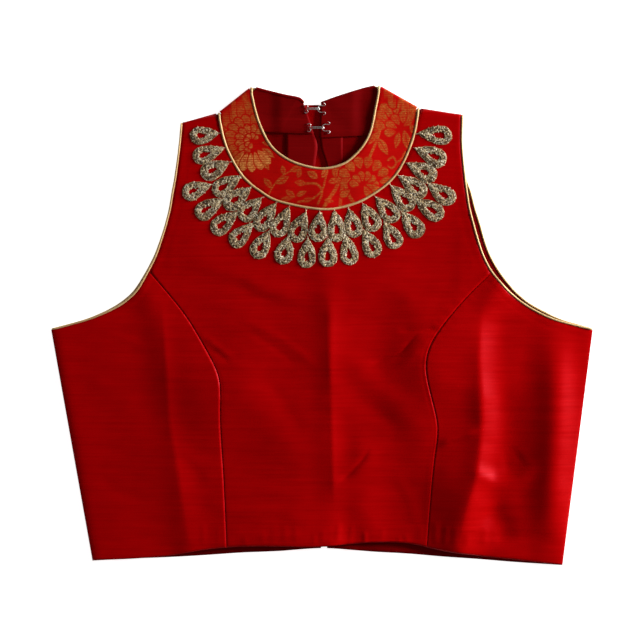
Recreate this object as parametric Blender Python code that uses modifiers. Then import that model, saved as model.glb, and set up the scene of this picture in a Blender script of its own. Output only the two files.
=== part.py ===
"""A sleeveless choli blouse with a stand collar, laid flat on its back with the front up.

Every size below is in millimetres. x runs to the right and y towards the neck, measured on the
cloth as it lies, from the centre front at the hem; z is the height above the surface that the
blouse rests on. Left and right are as seen from above.
"""

import math
from collections import namedtuple

import bmesh
import bpy
import numpy as np
from mathutils import Vector

MM = 0.001

CLOTH = 1.2  # wall of every silk and brocade piece
THIN = 1.0  # wall of the lining and the facings
GAP = 0.3  # between pieces at a seam
ARM_CORD = 0.9  # radius of the armhole piping
NECK_CORD = 1.1  # radius of the two collar pipings
WIRE = 0.35  # radius of the hook and eye wire

FRONT_BASE = 3.6  # middle of the front's cloth where it lies lowest
SEAM_END = 2.0  # middle of the front's cloth where it turns down onto the back
COLLAR_FOLD = 4.3  # middle of the front collar at the folds beside the neck
COLLAR_BACK = 0.75  # middle of the back collar
PLACKET_LIFT = 1.5  # how far the back edges are lifted by the strip under them

# Corners of the flat outline, as (x, y).
NECK_LEFT, NECK_RIGHT = (-91.0, 385.9), (79.9, 390.1)
TIP_LEFT, TIP_RIGHT = (-122.0, 377.4), (116.9, 384.2)
PEAK_LEFT, PEAK_RIGHT = (-63.8, 407.6), (46.8, 408.8)
ARMPIT_LEFT, ARMPIT_RIGHT = (-233.3, 200.2), (228.2, 200.2)
HEM_LEFT, HEM_RIGHT = (-198.0, 4.5), (202.3, 0.6)

# The front half of the stand collar, from the fold beside the neck on the left round to the right.
CollarRow = namedtuple("CollarRow", "seam_x seam_y top_x top_y")
COLLAR_FRONT = [
    CollarRow(-91.0, 385.9, -63.8, 407.6),
    CollarRow(-85.8, 362.1, -58.6, 384.6),
    CollarRow(-79.0, 345.9, -51.9, 367.2),
    CollarRow(-68.8, 330.2, -45.0, 356.1),
    CollarRow(-55.2, 318.8, -34.9, 347.6),
    CollarRow(-38.2, 309.8, -21.2, 341.3),
    CollarRow(-2.5, 303.2, -2.5, 337.8),
    CollarRow(22.9, 307.3, 14.4, 341.3),
    CollarRow(41.6, 316.6, 24.6, 348.5),
    CollarRow(56.9, 328.9, 33.1, 358.3),
    CollarRow(67.1, 344.2, 39.1, 370.6),
    CollarRow(75.6, 366.3, 43.4, 391.0),
    CollarRow(79.9, 390.1, 46.8, 408.8),
]
# The back halves, from the fold to the centre-back opening.
COLLAR_BACK_LEFT = [
    CollarRow(-91.0, 385.9, -63.8, 407.6),
    CollarRow(-72.2, 378.2, -50.1, 403.8),
    CollarRow(-51.9, 373.1, -34.9, 399.9),
    CollarRow(-29.8, 371.9, -22.9, 397.4),
    CollarRow(-10.6, 371.4, -17.8, 394.3),
]
COLLAR_BACK_RIGHT = [
    CollarRow(79.9, 390.1, 46.8, 408.8),
    CollarRow(62.0, 377.4, 34.9, 405.9),
    CollarRow(41.6, 370.6, 21.2, 401.6),
    CollarRow(19.6, 369.0, 8.5, 397.4),
    CollarRow(-4.7, 368.0, -3.4, 393.1),
]

# Sections through both armholes: where each edge lies at this height.
ArmholeRow = namedtuple("ArmholeRow", "y front_left back_left front_right back_right")
ARMHOLES = [
    ArmholeRow(358.7, -123.7, -123.7, 116.5, 116.5),
    ArmholeRow(331.5, -127.1, -127.5, 119.0, 119.4),
    ArmholeRow(317.9, -129.6, -130.0, 120.7, 124.0),
    ArmholeRow(304.3, -131.8, -132.2, 122.8, 127.4),
    ArmholeRow(290.7, -135.2, -135.6, 126.2, 131.7),
    ArmholeRow(277.1, -139.4, -139.9, 130.0, 135.5),
    ArmholeRow(263.5, -144.1, -145.0, 134.7, 140.6),
    ArmholeRow(249.9, -150.9, -152.0, 141.9, 148.3),
    ArmholeRow(236.3, -158.5, -160.4, 153.4, 158.9),
    ArmholeRow(229.5, -164.5, -166.4, 160.7, 165.7),
    ArmholeRow(222.7, -173.0, -175.0, 169.6, 174.2),
    ArmholeRow(215.9, -185.7, -187.2, 181.0, 186.5),
    ArmholeRow(209.1, -203.2, -204.0, 196.3, 201.0),
    ArmholeRow(203.0, -225.2, -226.1, 219.7, 221.8),
]

# The two hems.
HemRow = namedtuple("HemRow", "x front back")
HEMS = [
    HemRow(-198.0, 4.7, 4.2),
    HemRow(-164.0, 6.1, 6.0),
    HemRow(-133.4, 8.5, 7.2),
    HemRow(-102.8, 13.6, 8.9),
    HemRow(-72.2, 16.4, 11.0),
    HemRow(-41.6, 16.6, 12.3),
    HemRow(-11.0, 16.1, 14.6),
    HemRow(7.6, 17.4, 14.6),
    HemRow(39.9, 20.0, 11.9),
    HemRow(70.5, 19.1, 10.2),
    HemRow(101.1, 12.8, 7.6),
    HemRow(131.8, 8.5, 5.5),
    HemRow(162.3, 5.1, 3.0),
    HemRow(202.3, 0.8, 0.4),
]

# The princess seams and the pressed creases, from the hem up, as (x, y).
SeamRow = namedtuple("SeamRow", "x y")
PRINCESS_LEFT = [
    SeamRow(-83.7, 15.3),
    SeamRow(-85.8, 73.1),
    SeamRow(-88.4, 120.7),
    SeamRow(-87.5, 153.8),
    SeamRow(-89.2, 163.2),
    SeamRow(-100.3, 183.6),
    SeamRow(-115.6, 209.9),
    SeamRow(-132.6, 231.2),
    SeamRow(-147.9, 249.0),
]
PRINCESS_RIGHT = [
    SeamRow(86.4, 16.1),
    SeamRow(91.0, 87.5),
    SeamRow(94.7, 114.8),
    SeamRow(91.0, 130.0),
    SeamRow(83.6, 156.4),
    SeamRow(81.2, 168.3),
    SeamRow(85.0, 185.3),
    SeamRow(99.0, 205.7),
    SeamRow(119.8, 229.5),
    SeamRow(136.8, 245.7),
]
CREASE_LEFT = [
    SeamRow(-114.8, 11.0),
    SeamRow(-119.8, 42.5),
    SeamRow(-126.6, 90.1),
    SeamRow(-131.8, 120.7),
    SeamRow(-137.0, 175.1),
    SeamRow(-146.0, 220.0),
    SeamRow(-158.5, 236.3),
]
CREASE_RIGHT = [
    SeamRow(113.0, 11.0),
    SeamRow(119.8, 45.9),
    SeamRow(128.3, 76.5),
    SeamRow(133.4, 113.9),
    SeamRow(133.4, 141.1),
    SeamRow(131.8, 175.1),
    SeamRow(134.5, 209.1),
    SeamRow(149.0, 239.0),
]
CREASE_CENTRE = [
    SeamRow(7.6, 17.4),
    SeamRow(7.6, 56.1),
    SeamRow(5.1, 141.1),
    SeamRow(2.5, 249.9),
    SeamRow(-0.8, 303.2),
]

# The centre-back opening: its two edges and the strip under them.
OpeningRow = namedtuple("OpeningRow", "y left right strip_left strip_right")
OPENING = [
    OpeningRow(14.5, -3.4, 1.7, -16.0, 14.0),
    OpeningRow(110.0, -5.2, 3.4, -18.0, 16.0),
    OpeningRow(200.6, -6.8, 5.1, -20.0, 18.0),
    OpeningRow(302.6, -11.0, 7.6, -24.0, 19.0),
    OpeningRow(340.8, -8.1, 2.5, -22.0, 14.0),
    OpeningRow(358.0, -6.2, -2.9, -22.0, 10.0),
    OpeningRow(371.0, -10.4, -4.6, -24.0, 7.0),
    OpeningRow(392.6, -18.2, -3.4, -30.0, 6.0),
]
FACING_LEFT, FACING_RIGHT = -33.5, 15.0  # x of the outer edges of the facings
FACING_END = 288.0  # y of the facings' hidden lower ends
LIFT_LEFT, LIFT_RIGHT, LIFT_RUN = -36.0, 22.0, 11.0  # the lifted stretch, and how soon it ends

# Where the front is lifted off the back: rounded mounds, and ridges along the creases.
Mound = namedtuple("Mound", "x y half_width half_length height")
MOUNDS = {
    "body": Mound(0.0, 140.0, 235.0, 215.0, 3.4),
    "neck": Mound(-3.0, 325.0, 105.0, 90.0, 2.4),
    "bust_left": Mound(-92.0, 168.0, 72.0, 78.0, 5.0),
    "bust_right": Mound(84.0, 172.0, 72.0, 80.0, 7.0),
    "hem_mouth": Mound(4.0, 5.0, 150.0, 75.0, 4.5),
    "side_roll": Mound(194.0, 105.0, 32.0, 140.0, 4.2),
    "armhole_right": Mound(140.0, 270.0, 40.0, 90.0, 2.0),
}
Ridge = namedtuple("Ridge", "line half_width height")
RIDGES = {
    "centre": Ridge(CREASE_CENTRE, 12.0, 1.5),
    "left": Ridge(CREASE_LEFT, 12.0, 1.3),
    "right": Ridge(CREASE_RIGHT, 12.0, 3.0),
}
# How far in from each seam the front starts to turn down onto the back.
TURN_LEFT, TURN_RIGHT, TURN_SHOULDER = 5.0, 9.0, 4.0

# Hooks and eyes: the hook's rings are at the left edge, and the eye's at the right.
Fastening = namedtuple("Fastening", "hook_x y eye_x height")
FASTENINGS = {
    1: Fastening(-16.0, 388.6, -5.4, 5.0),
    2: Fastening(-13.6, 372.6, -1.6, 6.1),
    3: Fastening(-17.0, 280.0, 11.5, 3.5),
    4: Fastening(-13.0, 190.0, 8.5, 3.5),
    5: Fastening(-11.0, 98.0, 7.0, 3.5),
}

Look = namedtuple("Look", "colour roughness metallic")
LOOKS = {
    "red_silk": Look((0.31, 0.0, 0.003), 0.42, 0.0),
    "brocade": Look((0.40, 0.03, 0.01), 0.45, 0.25),
    "lining": Look((0.17, 0.001, 0.001), 0.6, 0.0),
    "gold_piping": Look((0.60, 0.40, 0.16), 0.45, 0.3),
    "wire": Look((0.62, 0.60, 0.58), 0.3, 1.0),
}


def spline(rows, steps=12):
    """A smooth curve through a table's points, as many short straight lines."""
    points = np.array([tuple(row)[:2] for row in rows], float)
    ends = np.vstack([2 * points[0] - points[1], points, 2 * points[-1] - points[-2]])
    found = []
    for a, b, c, d in zip(ends, ends[1:], ends[2:], ends[3:]):
        for k in range(steps):
            t = k / steps
            found.append(
                0.5 * (2 * b + (c - a) * t + (2 * a - 5 * b + 4 * c - d) * t**2 + (3 * b - a - 3 * c + d) * t**3)
            )
    return np.array(found + [points[-1]])


def lengths(curve):
    return np.concatenate([[0], np.cumsum(np.linalg.norm(np.diff(curve, axis=0), axis=1))])


def at(curve, fractions):
    """Points at these fractions of a curve's length."""
    along = lengths(curve)
    fractions = np.asarray(fractions, float) * along[-1]
    return np.stack([np.interp(fractions, along, curve[:, k]) for k in range(curve.shape[1])], axis=-1)


def nearest(curve, point):
    """The fraction of the curve's length that lies nearest to a point."""
    fine = at(curve, np.linspace(0, 1, 1201))
    return np.linspace(0, 1, 1201)[np.argmin(np.linalg.norm(fine - np.asarray(point), axis=1))]


def between(curve, start, end, n=61):
    """The stretch of a curve from nearest one point to nearest another."""
    return at(curve, np.linspace(nearest(curve, start), nearest(curve, end), n))


def beside(curve, distance):
    """The curve moved to the left of its own direction."""
    along = np.gradient(curve, axis=0)
    along /= np.linalg.norm(along, axis=1, keepdims=True)
    return curve + distance * np.stack([-along[:, 1], along[:, 0]], axis=1)


def pinned(curve, start, end):
    """The curve with its ends moved to these points, and the rest with them."""
    share = (lengths(curve) / lengths(curve)[-1])[:, None]
    return curve + (1 - share) * (np.asarray(start) - curve[0]) + share * (np.asarray(end) - curve[-1])


def steps(count, last=False):
    """Even fractions from 0, with 1 at the end only for a panel's last stretch."""
    return [k / count for k in range(count + (1 if last else 0))]


def distance_to(points, line):
    """How far each point is from a line of many points."""
    best = np.full(points.shape[:-1], 1e9)
    for a, b in zip(line, line[1:]):
        run = b - a
        share = np.clip(((points - a) @ run) / max(run @ run, 1e-12), 0, 1)
        best = np.minimum(best, np.linalg.norm(points - a - share[..., None] * run, axis=-1))
    return best


def ease(value):
    value = np.clip(value, 0, 1)
    return value * value * (3 - 2 * value)


SIDE_LEFT = np.array([HEM_LEFT, ARMPIT_LEFT])
SIDE_RIGHT = np.array([HEM_RIGHT, ARMPIT_RIGHT])
SHOULDER_LEFT = np.array([NECK_LEFT, TIP_LEFT])
SHOULDER_RIGHT = np.array([NECK_RIGHT, TIP_RIGHT])


def front_height(points):
    """Middle of the front's cloth above the surface, before it turns down at its seams."""
    x, y = points[..., 0], points[..., 1]
    z = np.full(x.shape, FRONT_BASE)
    for mound in MOUNDS.values():
        away = np.hypot((x - mound.x) / mound.half_width, (y - mound.y) / mound.half_length)
        z = z + mound.height * 0.5 * (1 + np.cos(np.pi * np.minimum(away, 1)))
    for ridge in RIDGES.values():
        away = distance_to(points, spline(ridge.line, 3))
        z = z + ridge.height * np.exp(-((away / ridge.half_width) ** 2))
    return z


def turned_down(points, z, seam, radius):
    """Lowers the cloth in a quarter round to where it meets the back at a seam."""
    near = np.clip((distance_to(points, seam) - CLOTH / 2) / radius, 0, 1)
    return SEAM_END + (z - SEAM_END) * np.sqrt(1 - (1 - near) ** 2)


def placket_lift(points):
    """How far the back edges are lifted over the strip under them."""
    x = points[..., 0]
    outside = np.maximum(LIFT_LEFT - x, x - LIFT_RIGHT) / LIFT_RUN
    return PLACKET_LIFT * (1 - ease(outside))


def with_z(points, z):
    return np.concatenate([points, np.broadcast_to(z, points.shape[:-1])[..., None]], axis=-1)


def look(name):
    material = bpy.data.materials.get(name)
    if material is None:
        material = bpy.data.materials.new(name)
        material.use_nodes = True
        shader = material.node_tree.nodes["Principled BSDF"]
        shader.inputs["Base Color"].default_value = (*LOOKS[name].colour, 1)
        shader.inputs["Roughness"].default_value = LOOKS[name].roughness
        shader.inputs["Metallic"].default_value = LOOKS[name].metallic
        material.diffuse_color = (*LOOKS[name].colour, 1)
    return material


def add(name, data, kind):
    obj = bpy.data.objects.new(name, data)
    data.materials.append(look(kind))
    BLOUSE.objects.link(obj)
    obj.parent = ROOT
    return obj


def cloth(name, points, kind, wall=CLOTH, offset=0.0):
    """A grid of points made into a wall of cloth. Offset 1 keeps the points as its underside."""
    rows, columns = points.shape[:2]
    mesh = bmesh.new()
    bmesh.ops.create_grid(mesh, x_segments=columns - 1, y_segments=rows - 1, size=1)
    mesh.verts.ensure_lookup_table()
    for vert, point in zip(mesh.verts, points.reshape(-1, 3)):
        vert.co = Vector(point) * MM
    mesh.normal_update()
    if sum(face.normal.z * face.calc_area() for face in mesh.faces) < 0:
        bmesh.ops.reverse_faces(mesh, faces=mesh.faces)
    data = bpy.data.meshes.new(name)
    mesh.to_mesh(data)
    mesh.free()
    obj = add(name, data, kind)
    wall_modifier = obj.modifiers.new("wall", "SOLIDIFY")
    wall_modifier.thickness = wall * MM
    wall_modifier.offset = offset
    wall_modifier.use_even_offset = False
    return obj


def cord(name, points, radius, kind, closed=False, sides=6):
    """A round cord or wire along these points."""
    data = bpy.data.curves.new(name, "CURVE")
    data.dimensions = "3D"
    data.bevel_depth = radius * MM
    data.bevel_resolution = (sides - 4) // 2
    data.use_fill_caps = not closed
    line = data.splines.new("POLY")
    line.points.add(len(points) - 1)
    for point, co in zip(line.points, points):
        point.co = (*(Vector(co) * MM), 1)
    line.use_cyclic_u = closed
    return add(name, data, kind)


def unit(vector):
    vector = np.asarray(vector, float)
    return vector / np.linalg.norm(vector)


def turn(corner, outward, high, low, radius, count=5):
    """A cord's half turn at a fold, from the front's height down to the back's."""
    outward = unit(outward)
    bend = (high - low) / 2
    axis = np.asarray(corner) - outward * (bend + radius)
    return [
        (*(axis + outward * bend * math.sin(a)), (high + low) / 2 + bend * math.cos(a))
        for a in np.linspace(0, math.pi, count)
    ]


def clear_of(points, corners, distance):
    """The points of a path that lie farther than this from each of these corners."""
    keep = np.ones(len(points), bool)
    for corner in corners:
        keep &= np.linalg.norm(points[:, :2] - np.asarray(corner), axis=1) > distance
    return [tuple(p) for p in points[keep]]


# --- the outline's curves -------------------------------------------------------------------------


def armhole(side, layer):
    """One armhole edge, from the armpit up to the shoulder tip."""
    tip, armpit = (TIP_LEFT, ARMPIT_LEFT) if side == "left" else (TIP_RIGHT, ARMPIT_RIGHT)
    rows = [SeamRow(getattr(row, f"{layer}_{side}"), row.y) for row in ARMHOLES]
    return spline([SeamRow(*tip), *rows, SeamRow(armpit[0], armpit[1] + 1.0)])[::-1]


def hem(layer):
    return spline([SeamRow(row.x, getattr(row, layer)) for row in HEMS])


def seam_rows(rows):
    return [SeamRow(row.seam_x, row.seam_y) for row in rows]


def top_rows(rows):
    return [SeamRow(row.top_x, row.top_y) for row in rows]


OUT = {"left": -1, "right": 1}
CORNERS = {
    "left": {"seam": SIDE_LEFT, "shoulder": SHOULDER_LEFT, "neck": NECK_LEFT, "peak": PEAK_LEFT},
    "right": {"seam": SIDE_RIGHT, "shoulder": SHOULDER_RIGHT, "neck": NECK_RIGHT, "peak": PEAK_RIGHT},
}
COLLAR_BACKS = {"left": COLLAR_BACK_LEFT, "right": COLLAR_BACK_RIGHT}
SEAM_LINE, TOP_LINE = spline(seam_rows(COLLAR_FRONT)), spline(top_rows(COLLAR_FRONT))
FRONT_HEM, BACK_HEM = hem("front"), hem("back")
ARM = {(side, layer): armhole(side, layer) for side in OUT for layer in ("front", "back")}
PRINCESS = {"left": spline(PRINCESS_LEFT), "right": spline(PRINCESS_RIGHT)}
CREASE = {"left": spline(CREASE_LEFT), "right": spline(CREASE_RIGHT)}

NECK_STEPS = 10  # columns from a neck corner to the centre front
SEAM_STEPS = 11  # rows along a princess seam
NECK_EDGE = NECK_CORD + GAP + 0.05  # from the middle of a collar piping to the cloth beside it
ARM_EDGE = ARM_CORD + GAP + 0.05


def patch(left, right, low, high):
    """A Coons patch: points of rows and columns inside four edges, each already in its own steps."""
    left, right, low, high = (np.asarray(edge, float) for edge in (left, right, low, high))
    t = np.linspace(0, 1, len(left))
    t = 0.5 * (lengths(left) / lengths(left)[-1] + lengths(right) / lengths(right)[-1])[:, None, None]
    s = 0.5 * (lengths(low) / lengths(low)[-1] + lengths(high) / lengths(high)[-1])[None, :, None]
    corners = (1 - t) * ((1 - s) * low[0] + s * low[-1]) + t * ((1 - s) * high[0] + s * high[-1])
    sides = (1 - s) * left[:, None] + s * right[:, None]
    return (1 - t) * low[None] + t * high[None] + sides - corners


def joined(*patches):
    return np.concatenate([patches[0]] + [p[:, 1:] for p in patches[1:]], axis=1)


def moved(points, distance):
    """A line of points moved to the left of its direction, mitred so that its edges stay parallel."""
    run = np.diff(points, axis=0)
    run /= np.linalg.norm(run, axis=1, keepdims=True)
    side = np.stack([-run[:, 1], run[:, 0]], axis=1)
    before, after = np.vstack([side[:1], side]), np.vstack([side, side[-1:]])
    middle = before + after
    middle /= np.linalg.norm(middle, axis=1, keepdims=True)
    return points + distance * middle / np.maximum(np.sum(middle * after, axis=1), 0.8)[:, None]


def inward(side):
    """Straight into the cloth from a shoulder."""
    run = unit(CORNERS[side]["shoulder"][1] - CORNERS[side]["shoulder"][0])
    return np.array([run[1], -run[0]]) * (-1 if side == "left" else 1)


def on(curve, point):
    return at(curve, [nearest(curve, point)])[0]


def front_arm_shares():
    """Rows up an armhole's straight part, closer where the front turns down over the shoulder."""
    return [1 / 6, 2 / 6, 3 / 6, 4 / 6, 5 / 6, 1 - 3.6 / 135, 1 - 1.5 / 135, 1 - 0.6 / 135]


def front_side_edge(side):
    """The centre panel's outer edge: up the princess seam, then up the armhole to the shoulder."""
    seam = beside(PRINCESS[side], GAP / 2 * OUT[side])
    arm = between(beside(ARM[side, "front"], ARM_EDGE * OUT[side]), seam[-1], CORNERS[side]["shoulder"][1])
    seam = pinned(seam, on(FRONT_HEM, seam[0]), arm[0])
    return np.vstack([at(seam, steps(SEAM_STEPS, True)), at(arm, front_arm_shares())])


def front_centre_flat():
    """The centre panel, as rows from the hem up and columns from left to right."""
    neck = by_row(SEAM_LINE, steps(2 * NECK_STEPS, True))
    neck = moved(neck, -NECK_EDGE)
    edges = {side: front_side_edge(side) for side in OUT}
    shoulders = {}
    for side in OUT:
        corner = neck[0 if side == "left" else -1]
        corner = corner + 3.4 * unit(CORNERS[side]["shoulder"][1] - CORNERS[side]["shoulder"][0])
        corner = corner + CLOTH / 2 * inward(side)
        shoulders[side] = np.linspace(edges[side][-1], corner, 4)
    middle = neck[NECK_STEPS]
    top_left = np.vstack([shoulders["left"], neck[1 : NECK_STEPS + 1]])
    top_right = np.vstack([neck[NECK_STEPS:-1], shoulders["right"][::-1]])
    hem_middle = on(FRONT_HEM, CREASE_CENTRE[0])
    share = lengths(edges["left"]) / lengths(edges["left"])[-1]
    centre = at(pinned(spline(CREASE_CENTRE), hem_middle, middle), share)
    low_left = at(between(FRONT_HEM, edges["left"][0], hem_middle), steps(len(top_left) - 1, True))
    low_right = at(between(FRONT_HEM, hem_middle, edges["right"][0]), steps(len(top_right) - 1, True))
    return joined(
        patch(edges["left"], centre, low_left, top_left),
        patch(centre, edges["right"], low_right, top_right),
    )


def by_row(curve, shares):
    """Points at even shares of a spline's rows, not of its length."""
    where = np.asarray(shares, float) * (len(curve) - 1)
    index = np.arange(len(curve))
    return np.stack([np.interp(where, index, curve[:, k]) for k in range(2)], axis=1)


def front_centre():
    flat = FRONT_CENTRE
    z = front_height(flat)
    z = turned_down(flat, z, SHOULDER_LEFT, TURN_SHOULDER)
    z = turned_down(flat, z, SHOULDER_RIGHT, TURN_SHOULDER)
    cloth("front_centre", with_z(flat, z), "red_silk")


def front_side_flat(side):
    """A front side panel, as rows from the hem up and columns from its side seam to the princess seam."""
    seam, radius = CORNERS[side]["seam"], TURN_LEFT if side == "left" else TURN_RIGHT
    princess = beside(PRINCESS[side], -GAP / 2 * OUT[side])
    arm = beside(ARM[side, "front"], ARM_EDGE * OUT[side])
    rows = steps(SEAM_STEPS, True)
    low = [on(FRONT_HEM, p) for p in (seam[0], CREASE[side][0], princess[0])]
    high = [on(arm, p) for p in (seam[1], CREASE[side][-1], princess[-1])]
    edge = at(np.array([low[0], high[0]]), rows)
    crease = at(pinned(CREASE[side], low[1], high[1]), rows)
    princess = at(pinned(princess, low[2], high[2]), rows)
    rounded = [f / 84.0 for f in turn_distances(radius)]
    outer = rounded + list(np.linspace(rounded[-1], 1, 5)[1:])
    inner = steps(4, True)

    def along(curve, a, b, shares):
        return at(between(curve, a, b), shares)

    width_low, width_high = (along(FRONT_HEM, low[0], low[1], [0] + outer), along(arm, high[0], high[1], [0] + outer))
    whole = patch(edge, crease, width_low, width_high)[:, 1:]
    rest = patch(crease, princess, along(FRONT_HEM, low[1], low[2], inner), along(arm, high[1], high[2], inner))
    return joined(whole, rest)


def turn_distances(radius):
    """How far in from a seam the columns of a turned-down edge lie."""
    return [CLOTH / 2 + radius * (1 - math.sin(math.radians(a))) for a in (90, 62, 36, 14)]


def front_side(side):
    flat = FRONT_SIDES[side]
    radius = TURN_LEFT if side == "left" else TURN_RIGHT
    z = turned_down(flat, front_height(flat), CORNERS[side]["seam"], radius)
    cloth(f"front_side_{side}", with_z(flat, z), "red_silk")


BACK_LOW_STEPS, BACK_HIGH_STEPS = 6, 11


def back_columns(side):
    """Where the back's columns cross the neck seam and the hem, from the opening out."""
    if side == "left":
        marks = [FACING_LEFT, LIFT_LEFT, LIFT_LEFT - LIFT_RUN]
    else:
        marks = [FACING_RIGHT, LIFT_RIGHT, LIFT_RIGHT + LIFT_RUN]
    return marks


def back_flat(side):
    """Half of the back, as rows from the hem up and columns from the opening out to the side."""
    seam, shoulder = CORNERS[side]["seam"], CORNERS[side]["shoulder"]
    arm = beside(ARM[side, "back"], ARM_EDGE * OUT[side])
    arm = pinned(arm, on(arm, seam[1]), arm[-1])
    neck = spline(seam_rows(COLLAR_BACKS[side]))[::-1]  # from the opening out
    neck = moved(neck, NECK_EDGE * (1 if side == "left" else -1))
    edge = spline([SeamRow(getattr(row, side), row.y) for row in OPENING[:-1]])
    edge = pinned(edge, on(BACK_HEM, edge[0]), neck[0])
    low_corner, armpit = on(BACK_HEM, seam[0]), arm[0]
    bend = nearest(edge, (edge[0][0], 215.0))
    upper = [k / BACK_HIGH_STEPS for k in range(1, BACK_HIGH_STEPS)] + [1 - 3.4 / 156, 1.0]
    opening = np.vstack([at(edge, [bend * f for f in steps(BACK_LOW_STEPS)]), at(edge, [bend])])
    opening = np.vstack([opening, at(edge, [bend + (1 - bend) * f for f in upper])])
    outer = np.vstack([at(np.array([low_corner, armpit]), steps(BACK_LOW_STEPS, True)), at(arm, upper)])
    share = lengths(opening) / lengths(opening)[-1]
    corner = neck[-1] + 4.2 * unit(shoulder[1] - shoulder[0]) + 0.6 * inward(side)
    marks = back_columns(side)
    highs = [on(neck, (x, np.interp(x, *sorted_columns(neck)))) for x in marks]
    lows = [on(BACK_HEM, (x, 12.0)) for x in marks]
    found, left, low, high = [], opening, opening[0], opening[-1]
    for mark_low, mark_high, count in zip(lows, highs, (3, 1, 1)):
        right = at(np.array([mark_low, mark_high]), share)
        shares = steps(count, True)
        found.append(patch(left, right, at(between(BACK_HEM, low, mark_low), shares), at(between(neck, high, mark_high), shares)))
        left, low, high = right, mark_low, mark_high
    top = np.vstack([at(between(neck, high, neck[-1]), steps(4)), corner[None], at(np.array([corner, arm[-1]]), [0.5, 1.0])])
    found.append(patch(left, outer, at(between(BACK_HEM, low, low_corner), steps(len(top) - 1, True)), top))
    return joined(*found)


def sorted_columns(curve):
    order = np.argsort(curve[:, 0])
    return curve[order, 0], curve[order, 1]


def back(side):
    flat = BACKS[side]
    cloth(f"back_{side}", with_z(flat, placket_lift(flat)), "red_silk", offset=1.0)


def placket():
    ys = [16.0, 60.0, 110.0, 155.0, 200.6, 250.0, 302.6, 330.0, 345.0, 358.0, 371.0, 392.2]
    rows = [row.y for row in OPENING]
    left = np.interp(ys, rows, [row.strip_left for row in OPENING])
    right = np.interp(ys, rows, [row.strip_right for row in OPENING])
    flat = np.stack([np.stack([left + (right - left) * s, ys], axis=1) for s in steps(2, True)], axis=1)
    cloth("back_placket", with_z(flat, 0.0), "red_silk", offset=1.0)


def facing(side):
    """A strip inside a back edge, made from the back's own points, moved up."""
    flat = BACKS[side][:, :4]
    rows = [k for k in range(len(flat) - 1) if flat[k, 0, 1] >= FACING_END]
    flat = flat[rows]
    z = placket_lift(flat) + CLOTH + GAP + 0.05
    cloth(f"back_facing_{side}", with_z(flat, z), "lining", wall=THIN, offset=1.0)


def back_neck(side):
    """The back's neck edge from the opening out to the neck corner, and that many points of the collar."""
    edge = BACKS[side][-1][: NECK_COLUMNS]
    seam = moved(edge, NECK_EDGE * (-1 if side == "left" else 1))
    seam_line, top_line = spline(seam_rows(COLLAR_BACKS[side]))[::-1], spline(top_rows(COLLAR_BACKS[side]))[::-1]
    shares = [nearest_index(seam_line, p) / (len(seam_line) - 1) for p in seam]
    return edge, seam, by_row(top_line, shares)


NECK_COLUMNS = 9  # columns of a back half between the opening and just short of the neck corner


def nearest_index(curve, point):
    return int(np.argmin(np.linalg.norm(curve - np.asarray(tuple(point)[:2]), axis=1)))


def collar_fold(side):
    """The line that the collar folds along beside the neck, and the direction out of it."""
    foot, peak = np.array(CORNERS[side]["neck"]), np.array(CORNERS[side]["peak"])
    along = unit(peak - foot)
    outward = np.array([-along[1], along[0]]) if side == "left" else np.array([along[1], -along[0]])
    return foot + 3.0 * along, peak - 3.9 * along, outward


def collar_height(flat, share, across):
    """Middle of the front collar: it lies on the front at its seam, and stands a little at its top."""
    standing = front_height(flat) + 1.6 * across
    rising = ease(np.minimum(share, 1 - share) / 0.16)
    return COLLAR_FOLD + (standing - COLLAR_FOLD) * rising


ACROSS = (0.0, 0.35, 0.7, 1.0)  # columns across the collar band


def band(low, high):
    """One station across the collar."""
    return np.array([low + (high - low) * w for w in ACROSS])


def collar_bend(side):
    """Stations round a fold, from the front's height down to the back's."""
    foot, peak, outward = collar_fold(side)
    bend = (COLLAR_FOLD - COLLAR_BACK) / 2
    axis = -outward * (bend + CLOTH / 2)
    stations = []
    for angle in np.linspace(0, math.pi, 6):
        shift = axis + outward * bend * math.sin(angle)
        z = (COLLAR_FOLD + COLLAR_BACK) / 2 + bend * math.cos(angle)
        stations.append(with_z(np.array([foot + (peak - foot) * w + shift for w in ACROSS]), z))
    return stations


def collar_back(side):
    """Stations from the opening out to the fold, clear of both pipings."""
    _, seam, top = back_neck(side)
    toward = NECK_EDGE * (1 if side == "left" else -1)
    lows, highs = moved(seam, -toward), moved(top, toward)
    highs[-1] += 1.8 * unit(lows[-1] - highs[-1])
    stations = [band(low, high) for low, high in zip(lows, highs)]
    return [with_z(flat, COLLAR_BACK + placket_lift(flat)) for flat in stations]


def collar():
    shares = steps(2 * NECK_STEPS, True)
    lows, highs = moved(by_row(SEAM_LINE, shares), NECK_EDGE), moved(by_row(TOP_LINE, shares), -NECK_EDGE)
    front = []
    for share, low, high in list(zip(shares, lows, highs))[1:-1]:
        flat = band(low, high)
        front.append(with_z(flat, collar_height(flat, share, np.array(ACROSS))))
    stations = collar_back("left") + collar_bend("left")[::-1] + front
    stations += collar_bend("right") + collar_back("right")[::-1]
    cloth("collar", np.array(stations).transpose(1, 0, 2), "brocade")


def collar_lining(side):
    """The inside of the back collar. It passes over the seam's piping and ends on the back."""
    _, seam, top = (points[:7] for points in back_neck(side))
    found = []
    for low, high, station in zip(seam, top, collar_back(side)):
        along = unit(high - low)
        below = np.array([low - 4.2 * along, low - 1.5 * along])
        height = np.concatenate([COLLAR_BACK + placket_lift(below), station[:, 2]])
        height += CLOTH / 2 + GAP + THIN / 2 + np.array([0.75, 1.25, 1.25, 0.1, 0.1, 0.1])
        found.append(with_z(np.vstack([below, station[:, :2]]), height))
    cloth(f"collar_lining_{side}", np.array(found).transpose(1, 0, 2), "lining", wall=THIN)


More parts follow.
